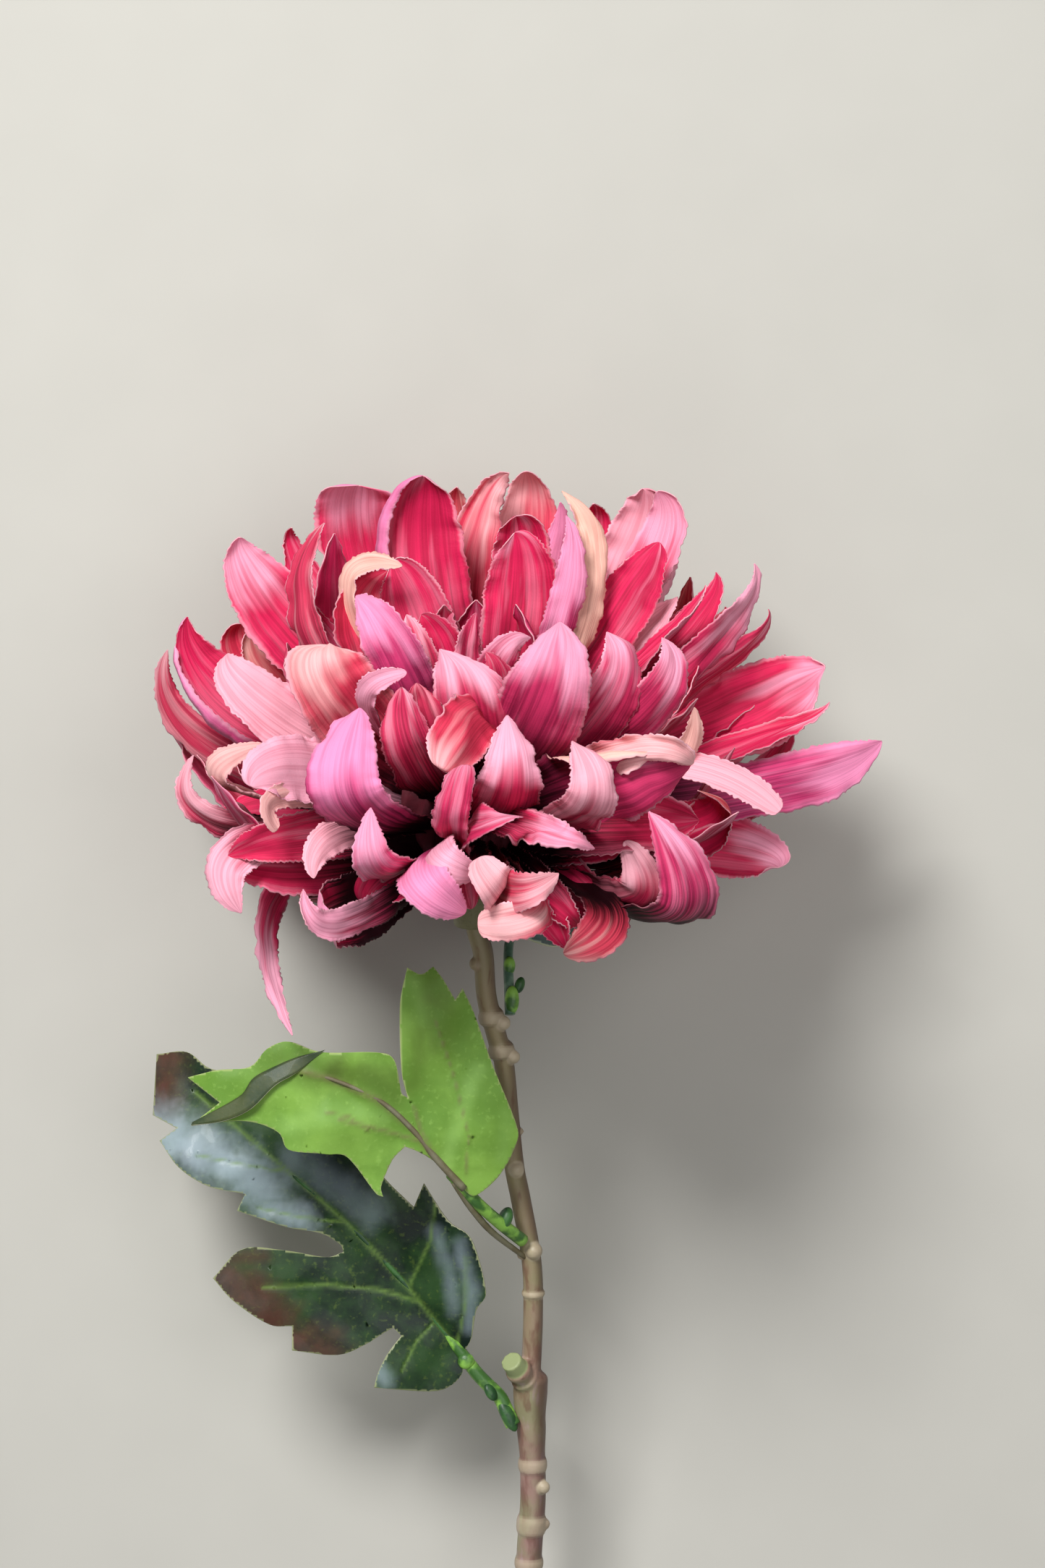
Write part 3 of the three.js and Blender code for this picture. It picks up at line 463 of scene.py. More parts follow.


# Petals that are seen, on the plan: tip x, y, height; belly x, y, height; width; facing, where 0
# turns the outer face to the eye and 180 the inner one; cup in radians; tone from -1, lilac, by
# 0, crimson, to 1, salmon; then what is special to it
# Among the specials, dark carries painted shade further up from a petal's root, and a negative dark carries
# it less far
shownPetals = {
    "crownPetals": [
        [-23.8, 73.8, -25, -22.5, 57, -32, 20, 180, 0.3, -0.9,
         {"innerTone": 0, "roll": 150, "rollSide": 1, "rollFrom": 0.6, "rollAt": (0.4, 0.72),
          "blunt": 1.6, "innerPale": 0.4, "pale": 0.6}],
        [-10.4, 75.8, -12, -11.9, 58, -20, 23, 175, 0.3, -0.9,
         {"innerTone": 0, "roll": 165, "rollSide": 1, "rollFrom": 0.52, "rollAt": (0.6, 0.92),
          "blunt": 0.9, "innerPale": 0, "pale": 0.8}],
        [-3.5, 73.5, -32, -4, 60, -36, 15, 180, 0.4, 0.7],
        [7.4, 76.4, -24, 3.5, 62, -30, 13, 165, 0.4, 0.5, {"slant": -0.6, "pale": 0.65, "wavy": 1.4}],
        [11, 76.8, -30, 10.9, 62, -36, 16, 180, 0.4, 0.5, {"blunt": 0.6, "pale": 0.65}],
        [9.1, 67.5, -2, 10, 55, -8, 14, 180, 0.4, 0, {"blunt": 1.1}],
        [8.6, 64, 4, 10.3, 52, 2, 16.5, 180, 0.35, 0, {"blunt": 0.8, "pale": 0.15}],
        [18, 70.3, -4, 17, 57, -6, 10, 20, 0.4, -0.7, {"pale": 1.5}],
        [18.4, 72.6, 4, 25.2, 56, 6, 8, 25, 0.5, 1, {"pale": 2.4, "wavy": 1.7}],
        [19.3, 67.5, 8, 19.9, 53, 10, 7.5, 20, 0.4, -0.6, {"pale": 1.0}],
        [25, 70, -36, 24, 59, -40, 15, 180, 0.4, 0.0],
        [35.5, 73.2, -18, 31.5, 59, -22, 18, 180, 0.35, 0.3,
         {"blunt": 0.9, "pale": 1.1, "slant": 0.3, "wavy": 1.8}],
        [38.3, 72.6, -10, 38.2, 59, -12, 14, 150, 0.4, 0, {"blunt": 0.8, "pale": 0.7}],
        [38.8, 61.9, 0, 32, 50, 0, 13, 160, 0.3, 0.0, {"blunt": 0.7, "wavy": 1.5}],
    ],
    "upperLeftPetals": [
        [-48.9, 63, -20, -43, 50, -22, 18.5, -165, 0.25, 0, {"blunt": 0.5, "pale": 0.55, "wavy": 1.5}],
        [-38, 65, -36, -35, 55, -38, 10, -160, 0.4, 0.0],
        [-36, 51, -14, -29, 40, -10, 8, -150, 0.4, -0.3, {"pale": 0.2}],
        [-31.1, 66, -4, -35, 46.5, 0, 9, -45, 0.5, 0.35, {"wavy": 1.5, "slant": 0.4}],
        [-59.8, 46.4, -4, -53.5, 31, -4, 18, -155, 0.3, -0.95,
         {"innerTone": 0, "roll": 150, "rollSide": 1, "rollFrom": 0.66, "pale": 0.8, "innerPale": -0.5}],
        [-63.9, 39.5, -16, -59, 22.5, -18, 9.5, -30, 0.4, 0.4, {"pale": 0.2}],
        [-48.5, 45, -38, -45, 35, -38, 14, -160, 0.4, 0.5, {"blunt": 0.9}],
        [-46, 44, -28, -41, 34, -26, 14, -150, 0.4, 0.7, {"blunt": 0.7, "pale": 0.5}],
        [-51.3, 38.7, 14, -43.5, 30.5, 20, 13.5, -165, 0.25, 0.3,
         {"pale": 1.2, "blunt": 0.2, "slant": -0.35, "widest": 0.68}],
        [-30.4, 40.6, 24, -29, 31.5, 30, 18, -175, 0.25, 0.55,
         {"pale": 0.6, "blunt": 0.9, "wavy": 1.4, "widest": 0.7}],
        [-24.5, 50.8, 24, -17.5, 40.5, 30, 11.5, -12, 0.4, -0.7, {"pale": 0.7}],
        [-18, 56, -2, -24, 45, 2, 12, -165, 0.4, 0.4, {"pale": -0.5}],
        [-14.9, 57, 8, -26, 52.5, 4, 7, 140, 0.4, 0.8, {"pale": 2.4, "blunt": 0.6}],
        [-16.6, 58.2, -4, -9.5, 46.5, -2, 16, 172, 0.3, -0.15, {"pale": -0.4, "blunt": 0.8, "slant": -0.3}],
        [-14, 46.8, 14, -11.5, 38, 18, 9, -20, 0.4, 0.2, {"pale": 0.3}],
        [-11, 46.8, 10, -6.5, 38, 10, 12, 175, 0.4, 0.0, {"blunt": 0.6}],
    ],
    "middlePetals": [
        [18, 45.3, 40, 15.5, 31, 46, 18.5, 0, 0.3, -0.4, {"pale": 0.48, "blunt": 0.2, "widest": 0.66}],
        [-7.1, 39.6, 34, -7, 27, 40, 17.5, -8, 0.25, 0.05,
         {"pale": 0.45, "blunt": 0.1, "slant": -0.85, "widest": 0.7}],
        [27.8, 43.2, 32, 28, 32, 38, 12.5, 10, 0.35, -0.25,
         {"pale": 0.4, "dark": -0.2, "blunt": 0.3, "slant": -0.35}],
        [39.3, 42, 30, 38.5, 31, 36, 11, 15, 0.35, -0.3,
         {"pale": 0.45, "dark": -0.3, "blunt": 0.2, "slant": -0.2}],
        [11.9, 42, 24, 6, 36, 26, 8.5, 0, 0.4, -0.2, {"pale": 0.4, "slant": 0.4}],
        [0.5, 47.2, 12, -1, 37, 16, 7, 20, 0.4, 0.1],
        [2.5, 39, 28, 5, 32, 28, 9, 10, 0.5, 0.2],
        [-14, 34.8, 44, -23, 28.5, 38, 5.5, -15, 0.3, -0.15, {"pale": 1.1, "blunt": 0.9}],
        [-12, 32.5, 36, -9, 20, 40, 12, -10, 0.4, 0.3, {"pale": -0.1, "blunt": 0.5, "dark": 0.3}],
        [-15.1, 31.7, 42, -13.5, 19, 47, 12, -15, 0.35, 0.15, {"pale": 0, "blunt": 0.4, "dark": 0.5}],
        [-23.8, 27.3, 46, -27, 8.8, 55, 16, -22, 0.35, -0.85,
         {"pale": 0.7, "blunt": 0.5, "widest": 0.66, "dark": 0.7}],
        [-6.8, 14.5, 57, 1.5, 26, 46, 11.5, 172, 0.3, 0.1,
         {"pale": 0.25, "blunt": 1.3, "wavy": 1.8, "widest": 0.78, "innerTone": 0.5}],
        [7, 25.8, 47, 7.5, 11, 52, 15.5, 5, 0.4, 0.05, {"pale": 0.65, "widest": 0.55}],
        [-1.5, 15.5, 58, -4.2, 2, 58, 8.5, -20, 0.45, -0.2,
         {"pale": 0, "slant": 0.3, "blunt": 1.4, "wavy": 1.3}],
        [20.5, 20.4, 50, 22.5, 8, 55, 12.5, 8, 0.45, 0.25, {"pale": 0.65, "slant": -0.35, "wavy": 1.4}],
        [45.9, 16.3, 38, 32, 12.5, 45, 19.5, 20, 0.3, -0.4,
         {"innerTone": 0.8, "pale": -0.2, "innerPale": 2, "roll": -175, "rollSide": -1,
          "rollFrom": 0.48, "rollAt": (0.4, 1.1), "wavy": 1.6, "dark": 0.2}],
        [45.9, 15.9, 43.5, 34, 18.6, 47, 7, 10, 0.35, 0.5,
         {"pale": 1.0, "wavy": 1.9, "blunt": 0.9, "dark": 0.5}],
        [47, 4, 30, 30, 4, 38, 15, 172, 0.3, 0.1, {"pale": -0.6, "dark": 0.9}],
        [46.1, 27.5, 32, 42, 14, 24, 7, 20, 0.4, 0.7, {"pale": 1.6, "blunt": 0.5, "slant": 0.3}],
        [63.9, 5.8, 30, 43, 15.6, 26, 6.5, 165, 0.2, 0.35,
         {"pale": 2.3, "blunt": 1.2, "wavy": 0.6, "widest": 0.8}],
        [8.5, 8.6, 60, -0.5, 3.8, 58, 10, -60, 0.6, -0.2, {"pale": 0.3, "curl": 30}],
        [25.2, -2, 56, 15, 1.8, 59, 8, 150, 0.4, -0.1, {"pale": 0.9, "wavy": 1.6, "dark": 0.9}],
    ],
    "rightPetals": [
        [42.5, 50.5, -4, 36, 43, -2, 13, 140, 0.4, 0.3, {"pale": 0.8}],
        [50.6, 55.7, -8, 45, 44, -6, 12, 140, 0.4, 0.0],
        [48.5, 53, 4, 41.5, 43.5, 4, 8, 120, 0.5, 0.0],
        [58.6, 57.5, 2, 53.5, 43.5, 2, 10, 35, 0.5, -0.1, {"pale": 0.6, "wavy": 1.5}],
        [61.5, 48, -14, 55, 38, -12, 10, 60, 0.5, 0.2],
        [52.5, 48.5, -16, 46.5, 40.5, -14, 12, 130, 0.4, 0.5],
        [73.4, 35.8, -10, 60, 30, -14, 19.5, 160, 0.25, 0.05,
         {"pale": 0.42, "blunt": 0.3, "wavy": 2, "widest": 0.76, "slant": 0.2, "dark": -0.2}],
        [74.3, 28.6, -6, 62, 21.5, -6, 9, 130, 0.4, 0.15, {"pale": 0.25}],
        [85.2, 20.5, -8, 68, 15.5, -6, 13, 14, 0.3, -0.7,
         {"pale": 0.5, "slant": -0.5, "blunt": 0.3, "widest": 0.78}],
        [50.5, 13.5, 28, 49, 3, 18, 13, 150, 0.4, 0.8, {"innerTone": 0.1, "curl": 35, "pale": 0.1}],
        [63.9, -5.9, -14, 54.5, -2, -16, 16, 160, 0.25, 0.0, {"blunt": 0.9, "pale": 0.4, "dark": -0.5}],
        [36.5, 5.7, 46, 41.8, -15.5, 44, 14.5, 15, 0.35, -0.4, {"pale": 0.2, "slant": -0.35, "dark": 1.4}],
        [31.5, -0.5, 40, 33.5, -12, 36, 11, -10, 0.35, 0.3,
         {"pale": 0.35, "wavy": 1.5, "blunt": 0.8, "dark": 1}],
        [18.8, -23.9, 46, 28, -15.5, 41, 9.5, 8, 0.25, 0.6,
         {"pale": 0, "blunt": 0.7, "dark": 1.8, "widest": 0.78}],
        [19.5, -23, 40, 14, -14, 38, 11, 178, 0.35, 0, {"pale": -1, "dark": 1.4}],
    ],
    "lowerPetals": [
        [1.6, -3.6, 60, 6.5, -9.5, 58, 9.5, 0, 0.1, 0.4,
         {"blunt": 1.1, "pale": 0.5, "wavy": 0.8, "widest": 0.75, "dark": -0.4, "slant": 0.3}],
        [17.7, -7.2, 59, 8, -11, 60, 9.5, 5, 0.1, 0.4,
         {"blunt": 0.2, "pale": 0.45, "wavy": 0.8, "widest": 0.72, "dark": -0.2}],
        [0.9, -17.8, 56, 13.5, -14.5, 58, 8, 0, 0.1, 0.5,
         {"blunt": 1.2, "pale": 0.6, "wavy": 0.8, "widest": 0.8, "dark": 0.2}],
        [-0.5, -14.5, 50, -2, -7, 52, 9, 0, 0.3, 0, {"blunt": 0.8, "pale": -1, "dark": 1}],
        [-1.8, -15.4, 57, -11, -7.5, 60, 11.5, 0, 0.35, -0.7,
         {"pale": 0.9, "blunt": 0.8, "wavy": 0.6, "dark": 0.5}],
        [0.4, -7.4, 57, -7.5, -3.5, 58, 9.5, 10, 0.3, 0.05,
         {"pale": 1.1, "blunt": 1.0, "wavy": 0.6, "dark": 0.5}],
        [-45, 20, 26, -53.5, 12, 20, 9, -30, 0.4, 0.6, {"pale": 1.4, "curl": 30, "dark": 0.8}],
        [-58.5, 17.5, 10, -56, 5, 8, 7, -30, 0.4, 0.3, {"pale": 0.6, "dark": 1.4}],
        [-46.5, 11, 42, -37.5, 14.8, 35, 15, 20, 0.15, 0.15, {"pale": 2.3, "blunt": 0.9, "wavy": 1.1}],
        [-41, 2, 40, -40, 9, 38, 5.5, 0, 0.1, 0.6, {"pale": 1.6, "blunt": 1.3, "dark": 1.4}],
        [-48, -5.5, 20, -41, -1.5, 24, 12, -150, 0.5, 0.0],
        [-48.5, -15.4, 28, -49, -2.5, 27, 10, 15, 0.2, 0.2,
         {"pale": 0.75, "blunt": 0.3, "dark": 1.6, "widest": 0.76}],
        [-33.4, -8.2, 48, -29.5, 0.2, 41, 7, 15, 0.3, 0.3,
         {"pale": 1.3, "blunt": 0.5, "dark": 1.6, "widest": 0.76}],
        [-53, -3, 18, -38, -3.5, 22, 17, 175, 0.5, 0.1, {"pale": -0.3, "dark": 0.6}],
        [-50, -2, 24, -36, 1, 30, 12, 160, 0.4, 0.2, {"pale": 0, "dark": 0.9, "curl": 25}],
        [-21.5, 6.5, 56, -20, -6, 57, 11, -8, 0.35, -0.4, {"pale": 0.5, "dark": 0.7}],
        [-38, -16, 44, -30, -16.5, 32, 15, -175, 0.5, -0.6,
         {"innerTone": 0.1, "curl": 60, "pale": 0.9, "innerPale": -0.2, "dark": 1.6}],
        [-35.6, -10.5, 48, -29, -18, 45, 7, 10, 0.3, -0.2, {"pale": 0.9, "dark": 1, "widest": 0.72}],
        [-37.8, -41, 12, -42.5, -14, 8, 6, 25, 0.3, 0, {"pale": 0.7, "wavy": 1.6, "dark": -0.6}],
        [-54, 2, 2, -45, 5, 2, 14, -150, 0.4, -0.1],
    ],
    # Petals in the clefts, dyed dark over half their length from the root: painted shade between the shown
    # petals
    "cleftPetals": [
        [-30, 20, 20, -26, 14, 22, 14, -160, 0.4, 0, {"pale": -1, "dark": 1.2}],
        [30, 2, 20, 25, 0, 24, 14, 150, 0.4, 0, {"pale": -1, "dark": 1.2}],
        [-22, -14, 24, -20, -10, 26, 14, -160, 0.4, 0, {"pale": -1, "dark": 1.2}],
        [26, -14, 24, 21, -11, 28, 14, 160, 0.4, 0, {"pale": -1, "dark": 1.2}],
        [22, -18, 38, 16, -13, 40, 10, 175, 0.4, 0, {"pale": -1, "dark": 1.2}],
        [17.5, -20, 38, 12, -14, 40, 9, 175, 0.4, 0, {"pale": -1, "dark": 1.2}],
    ],
}


def makeShownPetals(name, rows):
    bm, layers = startPetals()
    for tipX, tipY, tipZ, bellyX, bellyY, bellyZ, width, turn, cup, tone, *special in rows:
        extras = special[0] if special else {}
        addPetal(bm, layers, sight(tipX, tipY, tipZ), sight(bellyX, bellyY, bellyZ), width,
                 facing(turn), cup, tone, **extras)
    piece = finish(name, bm, petalMaterials, "bloom")
    addWall(piece, petalCut["thickness"])
    print(name, "made:", len(rows), "petals")


for layerName, petalRows in shownPetals.items():
    makeShownPetals(layerName, petalRows)

# The side that lies on the surface: rings of petals round the axis. Each ring: lean of the tips
# from the axis, length, count, width, and where its arc starts and ends, with 0 towards the eye
underside = {
    "rings": [
        (24, 50, 4, 15, 112, 250),
        (46, 70, 5, 16, 136, 236),
        (66, 79, 7, 17, 112, 240),
        (86, 80, 8, 17, 112, 250),
        (104, 66, 5, 16, 152, 250),
        (80, 60, 3, 16, 50, 114),
        (80, 60, 3, 16, 250, 314),
        (102, 50, 3, 15, 50, 120),
        (102, 50, 3, 15, 240, 310),
        (58, 58, 2, 15, 62, 112),
        (58, 58, 2, 15, 252, 302),
    ],
    "spread": {"turn": 8, "lean": 10, "length": 0.1, "width": 0.2, "curl": 20, "cup": 0.3},
    "curl": 14, "cup": 0.5, "bellyAt": 0.66, "tones": (-0.6, 0.8),
    # The darker root of the short petals by the core is painted shade
    "shortest": 60, "shortRootShade": 0.8,    # petals up to this length are darker at the root
    "state": 20, "facets": (8, 64),
}


# Numbers from -0.5 to 0.5 that are the same on every run
def makeShuffle(state):
    def draw():
        nonlocal state
        state = (state * 1664525 + 1013904223) % 2 ** 32
        return state / 2 ** 32 - 0.5
    return draw


# The direction that leans from the flower's axis, turned about it from the eye's side
def leaning(lean, turn):
    towardsEye = Vector((0, -flowerAxis.z, flowerAxis.y))
    out = towardsEye * cos(radians(turn)) + Vector((sin(radians(turn)), 0, 0))
    return out * sin(radians(lean)) + flowerAxis * cos(radians(lean))


def awayFromAxis(point, tangent):
    out = point - flowerAxis * point.dot(flowerAxis)
    return flowerAxis.cross(out).cross(tangent).normalized()


def makeUnderPetals():
    bm, layers = startPetals()
    draw = makeShuffle(underside["state"])
    spread = underside["spread"]
    for ring, (lean, length, count, width, start, end) in enumerate(underside["rings"]):
        for i in range(count):
            part = (i + (0.5 if ring % 2 else 0)) / count
            turn = start + (end - start) * part + spread["turn"] * draw()
            tipLean = lean + spread["lean"] * draw()
            reach = length * (1 + spread["length"] * draw())
            cutWidth = width * (1 + spread["width"] * draw())
            curl = underside["curl"] + spread["curl"] * draw()
            cup = underside["cup"] + spread["cup"] * draw()
            tip = leaning(tipLean - curl / 2, turn) * reach
            belly = leaning(tipLean + curl / 2, turn) * reach * underside["bellyAt"]
            tone = random.uniform(*underside["tones"])
            dark = underside["shortRootShade"] if length <= underside["shortest"] else 0
            addPetal(bm, layers, tip, belly, cutWidth, awayFromAxis, cup, tone, underside["facets"],
                     dark=dark)
    piece = finish("underPetals", bm, petalMaterials, "bloom")
    addWall(piece, petalCut["thickness"])


makeUnderPetals()
print("under petals made")

# The dark middle that the petals stand out of: their packed roots
core = {
    "profile": [(0, -8.5), (9, -8.5), (15, -3), (19, 6), (19, 16), (13, 25), (5, 29), (0, 29.5)],
    "sides": 120, "folds": 26, "depth": 0.07,
}


def coreMaterial():
    material, wire = startMaterial("packedRoots")
    place = objectPlace(wire)
    folds = cloud(wire, place, 260, 3)
    colour = blend(wire, srgb(38, 4, 14), srgb(112, 14, 38), folds)
    endMaterial(wire, colour, folds * 0.2 + 0.7, folds, (0.6, 0.8))
    return material


# A turned shape standing on a point, its own axis along a direction
def addTurned(bm, profile, sides, place=Vector(), direction=Vector((0, 0, 1))):
    older = set(bm.verts)
    verts = [bm.verts.new((radius, 0, height)) for radius, height in profile]
    edges = [bm.edges.new(pair) for pair in zip(verts, verts[1:])]
    bmesh.ops.spin(bm, geom=verts + edges, axis=(0, 0, 1), cent=(0, 0, 0), angle=2 * pi,
                   steps=sides, use_merge=True)
    bmesh.ops.remove_doubles(bm, verts=[vert for vert in bm.verts if vert not in older], dist=1e-4)
    turn = Vector((0, 0, 1)).rotation_difference(direction)
    for vert in bm.verts:
        if vert not in older:
            vert.co = place + turn @ vert.co
    bmesh.ops.recalc_face_normals(bm, faces=[face for face in bm.faces if face.verts[0] not in older])


def makeCore():
    bm = bmesh.new()
    addTurned(bm, smoothLine(core["profile"], 6), core["sides"])
    turn = Vector((0, 0, 1)).rotation_difference(flowerAxis)
    for vert in bm.verts:
        angle = Vector((vert.co.x, vert.co.y + 1e-9)).angle_signed(Vector((1, 0)))
        fold = sin(core["folds"] * angle + 2 * sin(vert.co.z * 0.4)) + noise.noise(vert.co * 0.25)
        vert.co.xy *= 1 + core["depth"] * fold
        vert.co = turn @ vert.co
    finish("packedRoots", bm, [coreMaterial()], "bloom")


# A smooth line through points of any size; a corner stays sharp past the given turn
def smoothLine(points, cuts, closed=False, corner=180):
    points = [Vector(point) for point in points]
    count = len(points)
    line = []
    for i in range(count if closed else count - 1):
        here, there = points[i], points[(i + 1) % count]
        before = points[i - 1] if i or closed else here
        beyond = points[(i + 2) % count] if i + 2 < count or closed else there
        along = there - here
        leave = along if isCorner(before, here, there, corner) else (there - before) / 2
        arrive = along if isCorner(here, there, beyond, corner) else (beyond - here) / 2
        leave = leave.normalized() * min(leave.length, along.length * 1.2) if leave.length else along
        arrive = arrive.normalized() * min(arrive.length, along.length * 1.2) if arrive.length else along
        for cut in range(cuts):
            t = cut / cuts
            line.append(here * (2 * t ** 3 - 3 * t ** 2 + 1) + leave * (t ** 3 - 2 * t ** 2 + t)
                        + there * (3 * t ** 2 - 2 * t ** 3) + arrive * (t ** 3 - t ** 2))
    if not closed:
        line.append(points[-1])
    return line


def isCorner(before, here, there, corner):
    if before == here or here == there:
        return True
    return (here - before).angle(there - here) > radians(corner)


makeCore()
print("core made")

calyxCut = {
    "profile": [
        (0, -9), (5.6, -9), (6.4, -9.5), (6.6, -10.2), (6.3, -11.8), (5.7, -13.6), (4.9, -15.6),
        (4.4, -16.9), (4.1, -18.5), (3.4, -18.5), (3.3, -17.5), (3.3, -12.5), (0, -12.5),
    ],
    "sides": 96, "ribs": 12, "ribDepth": 0.035, "ribsFrom": 3.6,
}


def calyxMaterial():
    material, wire = startMaterial("mouldedCalyx")
    place = objectPlace(wire)
    patches = cloud(wire, place, 170, 3)
    grain = cloud(wire, place, 1400, 2)
    colour = blend(wire, srgb(112, 112, 78), srgb(128, 122, 86), patches)
    colour = blend(wire, colour, srgb(84, 72, 54), step(wire, grain, 0.5, 0.8) * 0.4)
    endMaterial(wire, colour, patches * 0.2 + 0.38, patches * 0.6 + grain * 0.4, (0.35, 0.25))
    return material


def makeCalyx():
    bm = bmesh.new()
    addTurned(bm, calyxCut["profile"], calyxCut["sides"])
    turn = Vector((0, 0, 1)).rotation_difference(flowerAxis)
    for vert in bm.verts:
        radius = vert.co.xy.length
        if radius > calyxCut["ribsFrom"]:
            angle = vert.co.xy.angle_signed(Vector((1, 0)))
            rib = calyxCut["ribDepth"] * (cos(calyxCut["ribs"] * angle) - 1) * smooth(radius, 4, 8)
            vert.co.xy *= 1 + rib
        vert.co = turn @ vert.co
    finish("mouldedCalyx", bm, [calyxMaterial()], "calyx")


makeCalyx()
print("calyx made")

stem = {
    "plan": [
        (0, -12.5), (0.5, -18.5), (2, -24), (2.7, -32.9), (4.8, -41.1), (6.3, -46.5), (7.4, -58),
        (8.5, -68.4), (9.8, -75), (12.1, -88.2), (12.4, -100), (11.8, -116.4), (12.1, -124.7),
        (12.4, -137.1), (11.6, -149.5), (11, -170), (9.6, -195), (8.6, -220), (8, -242),
    ],
    "slope": 0.2464,
    "upperRadius": 2.15, "lowerRadius": 2.8, "knotY": -114,
    "rings": [       # y on the plan, radius, length
        (-37.2, 2.8, 2.6), (-44.2, 2.9, 2.6), (-94.8, 2.55, 1.4), (-130.5, 3.2, 2.4),
        (-143, 3.3, 3.6), (-151, 3.2, 2.2), (-172, 3.3, 3), (-198, 3.3, 2.6), (-222, 3.3, 3),
    ],
    "flare": [(-129, 2.8), (-122, 3.2), (-115, 3.75), (-112.5, 3.75), (-110.6, 2.15)],
    "knobs": [       # y on the plan, radius, offset to the right and up, how cream it is
        (-26, 1.5, -1.7, 0.6, 0.2), (-38.3, 1.6, 2.2, 1.2, 1), (-45.4, 1.5, 2.2, 1.2, 1),
        (-61, 0.7, 2.2, 0, 0.8), (-68.8, 1.6, 0.4, 1.9, 1), (-85.8, 1.9, 0.8, 1.6, 0.8),
        (-86.8, 0.9, -2.1, 0.9, 0.7), (-135, 1.5, 2.2, 1.9, 1), (-143, 1.3, 2.8, 0, 0.5),
        (-174, 1.5, -2.4, 1, 0.5), (-200, 1.6, 1.6, 2.2, 0.7),
    ],
    "stub": [
        (0, -1), (3.1, -1), (3.1, 3.4), (2.5, 3.7), (2.5, 5.2), (2.9, 5.4), (2.9, 6.6),
        (2.4, 6.9), (2.3, 10), (0, 10),
    ],
    "stubDirection": Vector((-0.42, 0.62, 0.66)).normalized(),
    "sides": 28, "stubSides": 32, "station": 0.5, "voxel": 0.3, "smoothing": 2,
}
stemLine = smoothLine(stem["plan"], 16)
stemTop, stemBottom = stem["plan"][0][1], stem["plan"][-1][1]
stemCount = round((stemTop - stemBottom) / stem["station"])
stemYs = [stemBottom + (stemTop - stemBottom) * i / stemCount for i in range(stemCount + 1)]


# The middle of the stem at a place on the plan, and its direction there
def stemAt(y):
    index = next((i for i, point in enumerate(stemLine) if point.y <= y), len(stemLine) - 1)
    index = max(1, index)
    before, after = stemLine[index - 1], stemLine[index]
    part = (y - before.y) / (after.y - before.y)
    x = before.x + (after.x - before.x) * part
    slope = stem["slope"]
    direction = sight(before.x, before.y, slope * before.y) - sight(after.x, after.y, slope * after.y)
    return sight(x, y, slope * y), direction.normalized()


def stemRadius(y):
    low, high = stem["lowerRadius"], stem["upperRadius"]
    radius = high + (low - high) * (1 if y < stem["knotY"] else 0)
    flare = stem["flare"]
    if flare[0][0] < y < flare[-1][0]:
        for (y0, r0), (y1, r1) in zip(flare, flare[1:]):
            if y0 <= y <= y1:
                radius = r0 + (r1 - r0) * smooth(y, y0, y1)
    for ringY, ringRadius, length in stem["rings"]:
        near = abs(y - ringY) / (length / 2)
        if near < 1:
            radius = max(radius, radius + (ringRadius - radius) * sqrt(1 - near ** 3))
    return radius


def makeStem():
    bm = bmesh.new()
    profile = [(0, stemBottom), *[(stemRadius(y), y) for y in stemYs], (0, stemTop)]
    addTurned(bm, profile, stem["sides"])
    for vert in bm.verts:
        place, direction = stemAt(vert.co.z)
        side = (Vector((1, 0, 0)) - direction * direction.x).normalized()
        up = side.cross(direction)
        vert.co = place + side * vert.co.x + up * vert.co.y
    bmesh.ops.recalc_face_normals(bm, faces=bm.faces[:])
    for y, radius, across, up, _ in stem["knobs"]:
        for vert in bmesh.ops.create_icosphere(bm, subdivisions=3, radius=radius)["verts"]:
            vert.co += stemAt(y)[0] + Vector((across, 0, up))
    addTurned(bm, stem["stub"], stem["stubSides"], stemAt(stem["knotY"])[0], stem["stubDirection"])
    rough = bpy.data.meshes.new("roughStem")
    bm.to_mesh(rough)
    bm.free()
    carrier = bpy.data.objects.new("roughStem", rough)
    bpy.context.scene.collection.objects.link(carrier)
    remesh = carrier.modifiers.new("remesh", "REMESH")
    remesh.mode = "VOXEL"
    remesh.voxel_size = stem["voxel"]
    whole = carrier.evaluated_get(bpy.context.evaluated_depsgraph_get()).to_mesh()
    bm = bmesh.new()
    bm.from_mesh(whole)
    bpy.data.objects.remove(carrier)
    bpy.data.meshes.remove(rough)
    for _ in range(stem["smoothing"]):
        bmesh.ops.smooth_vert(bm, verts=bm.verts, factor=0.5, use_axis_x=True, use_axis_y=True,
                              use_axis_z=True)
    paintStem(bm)
    finish("mouldedStem", bm, [stemMaterial()], "stem")
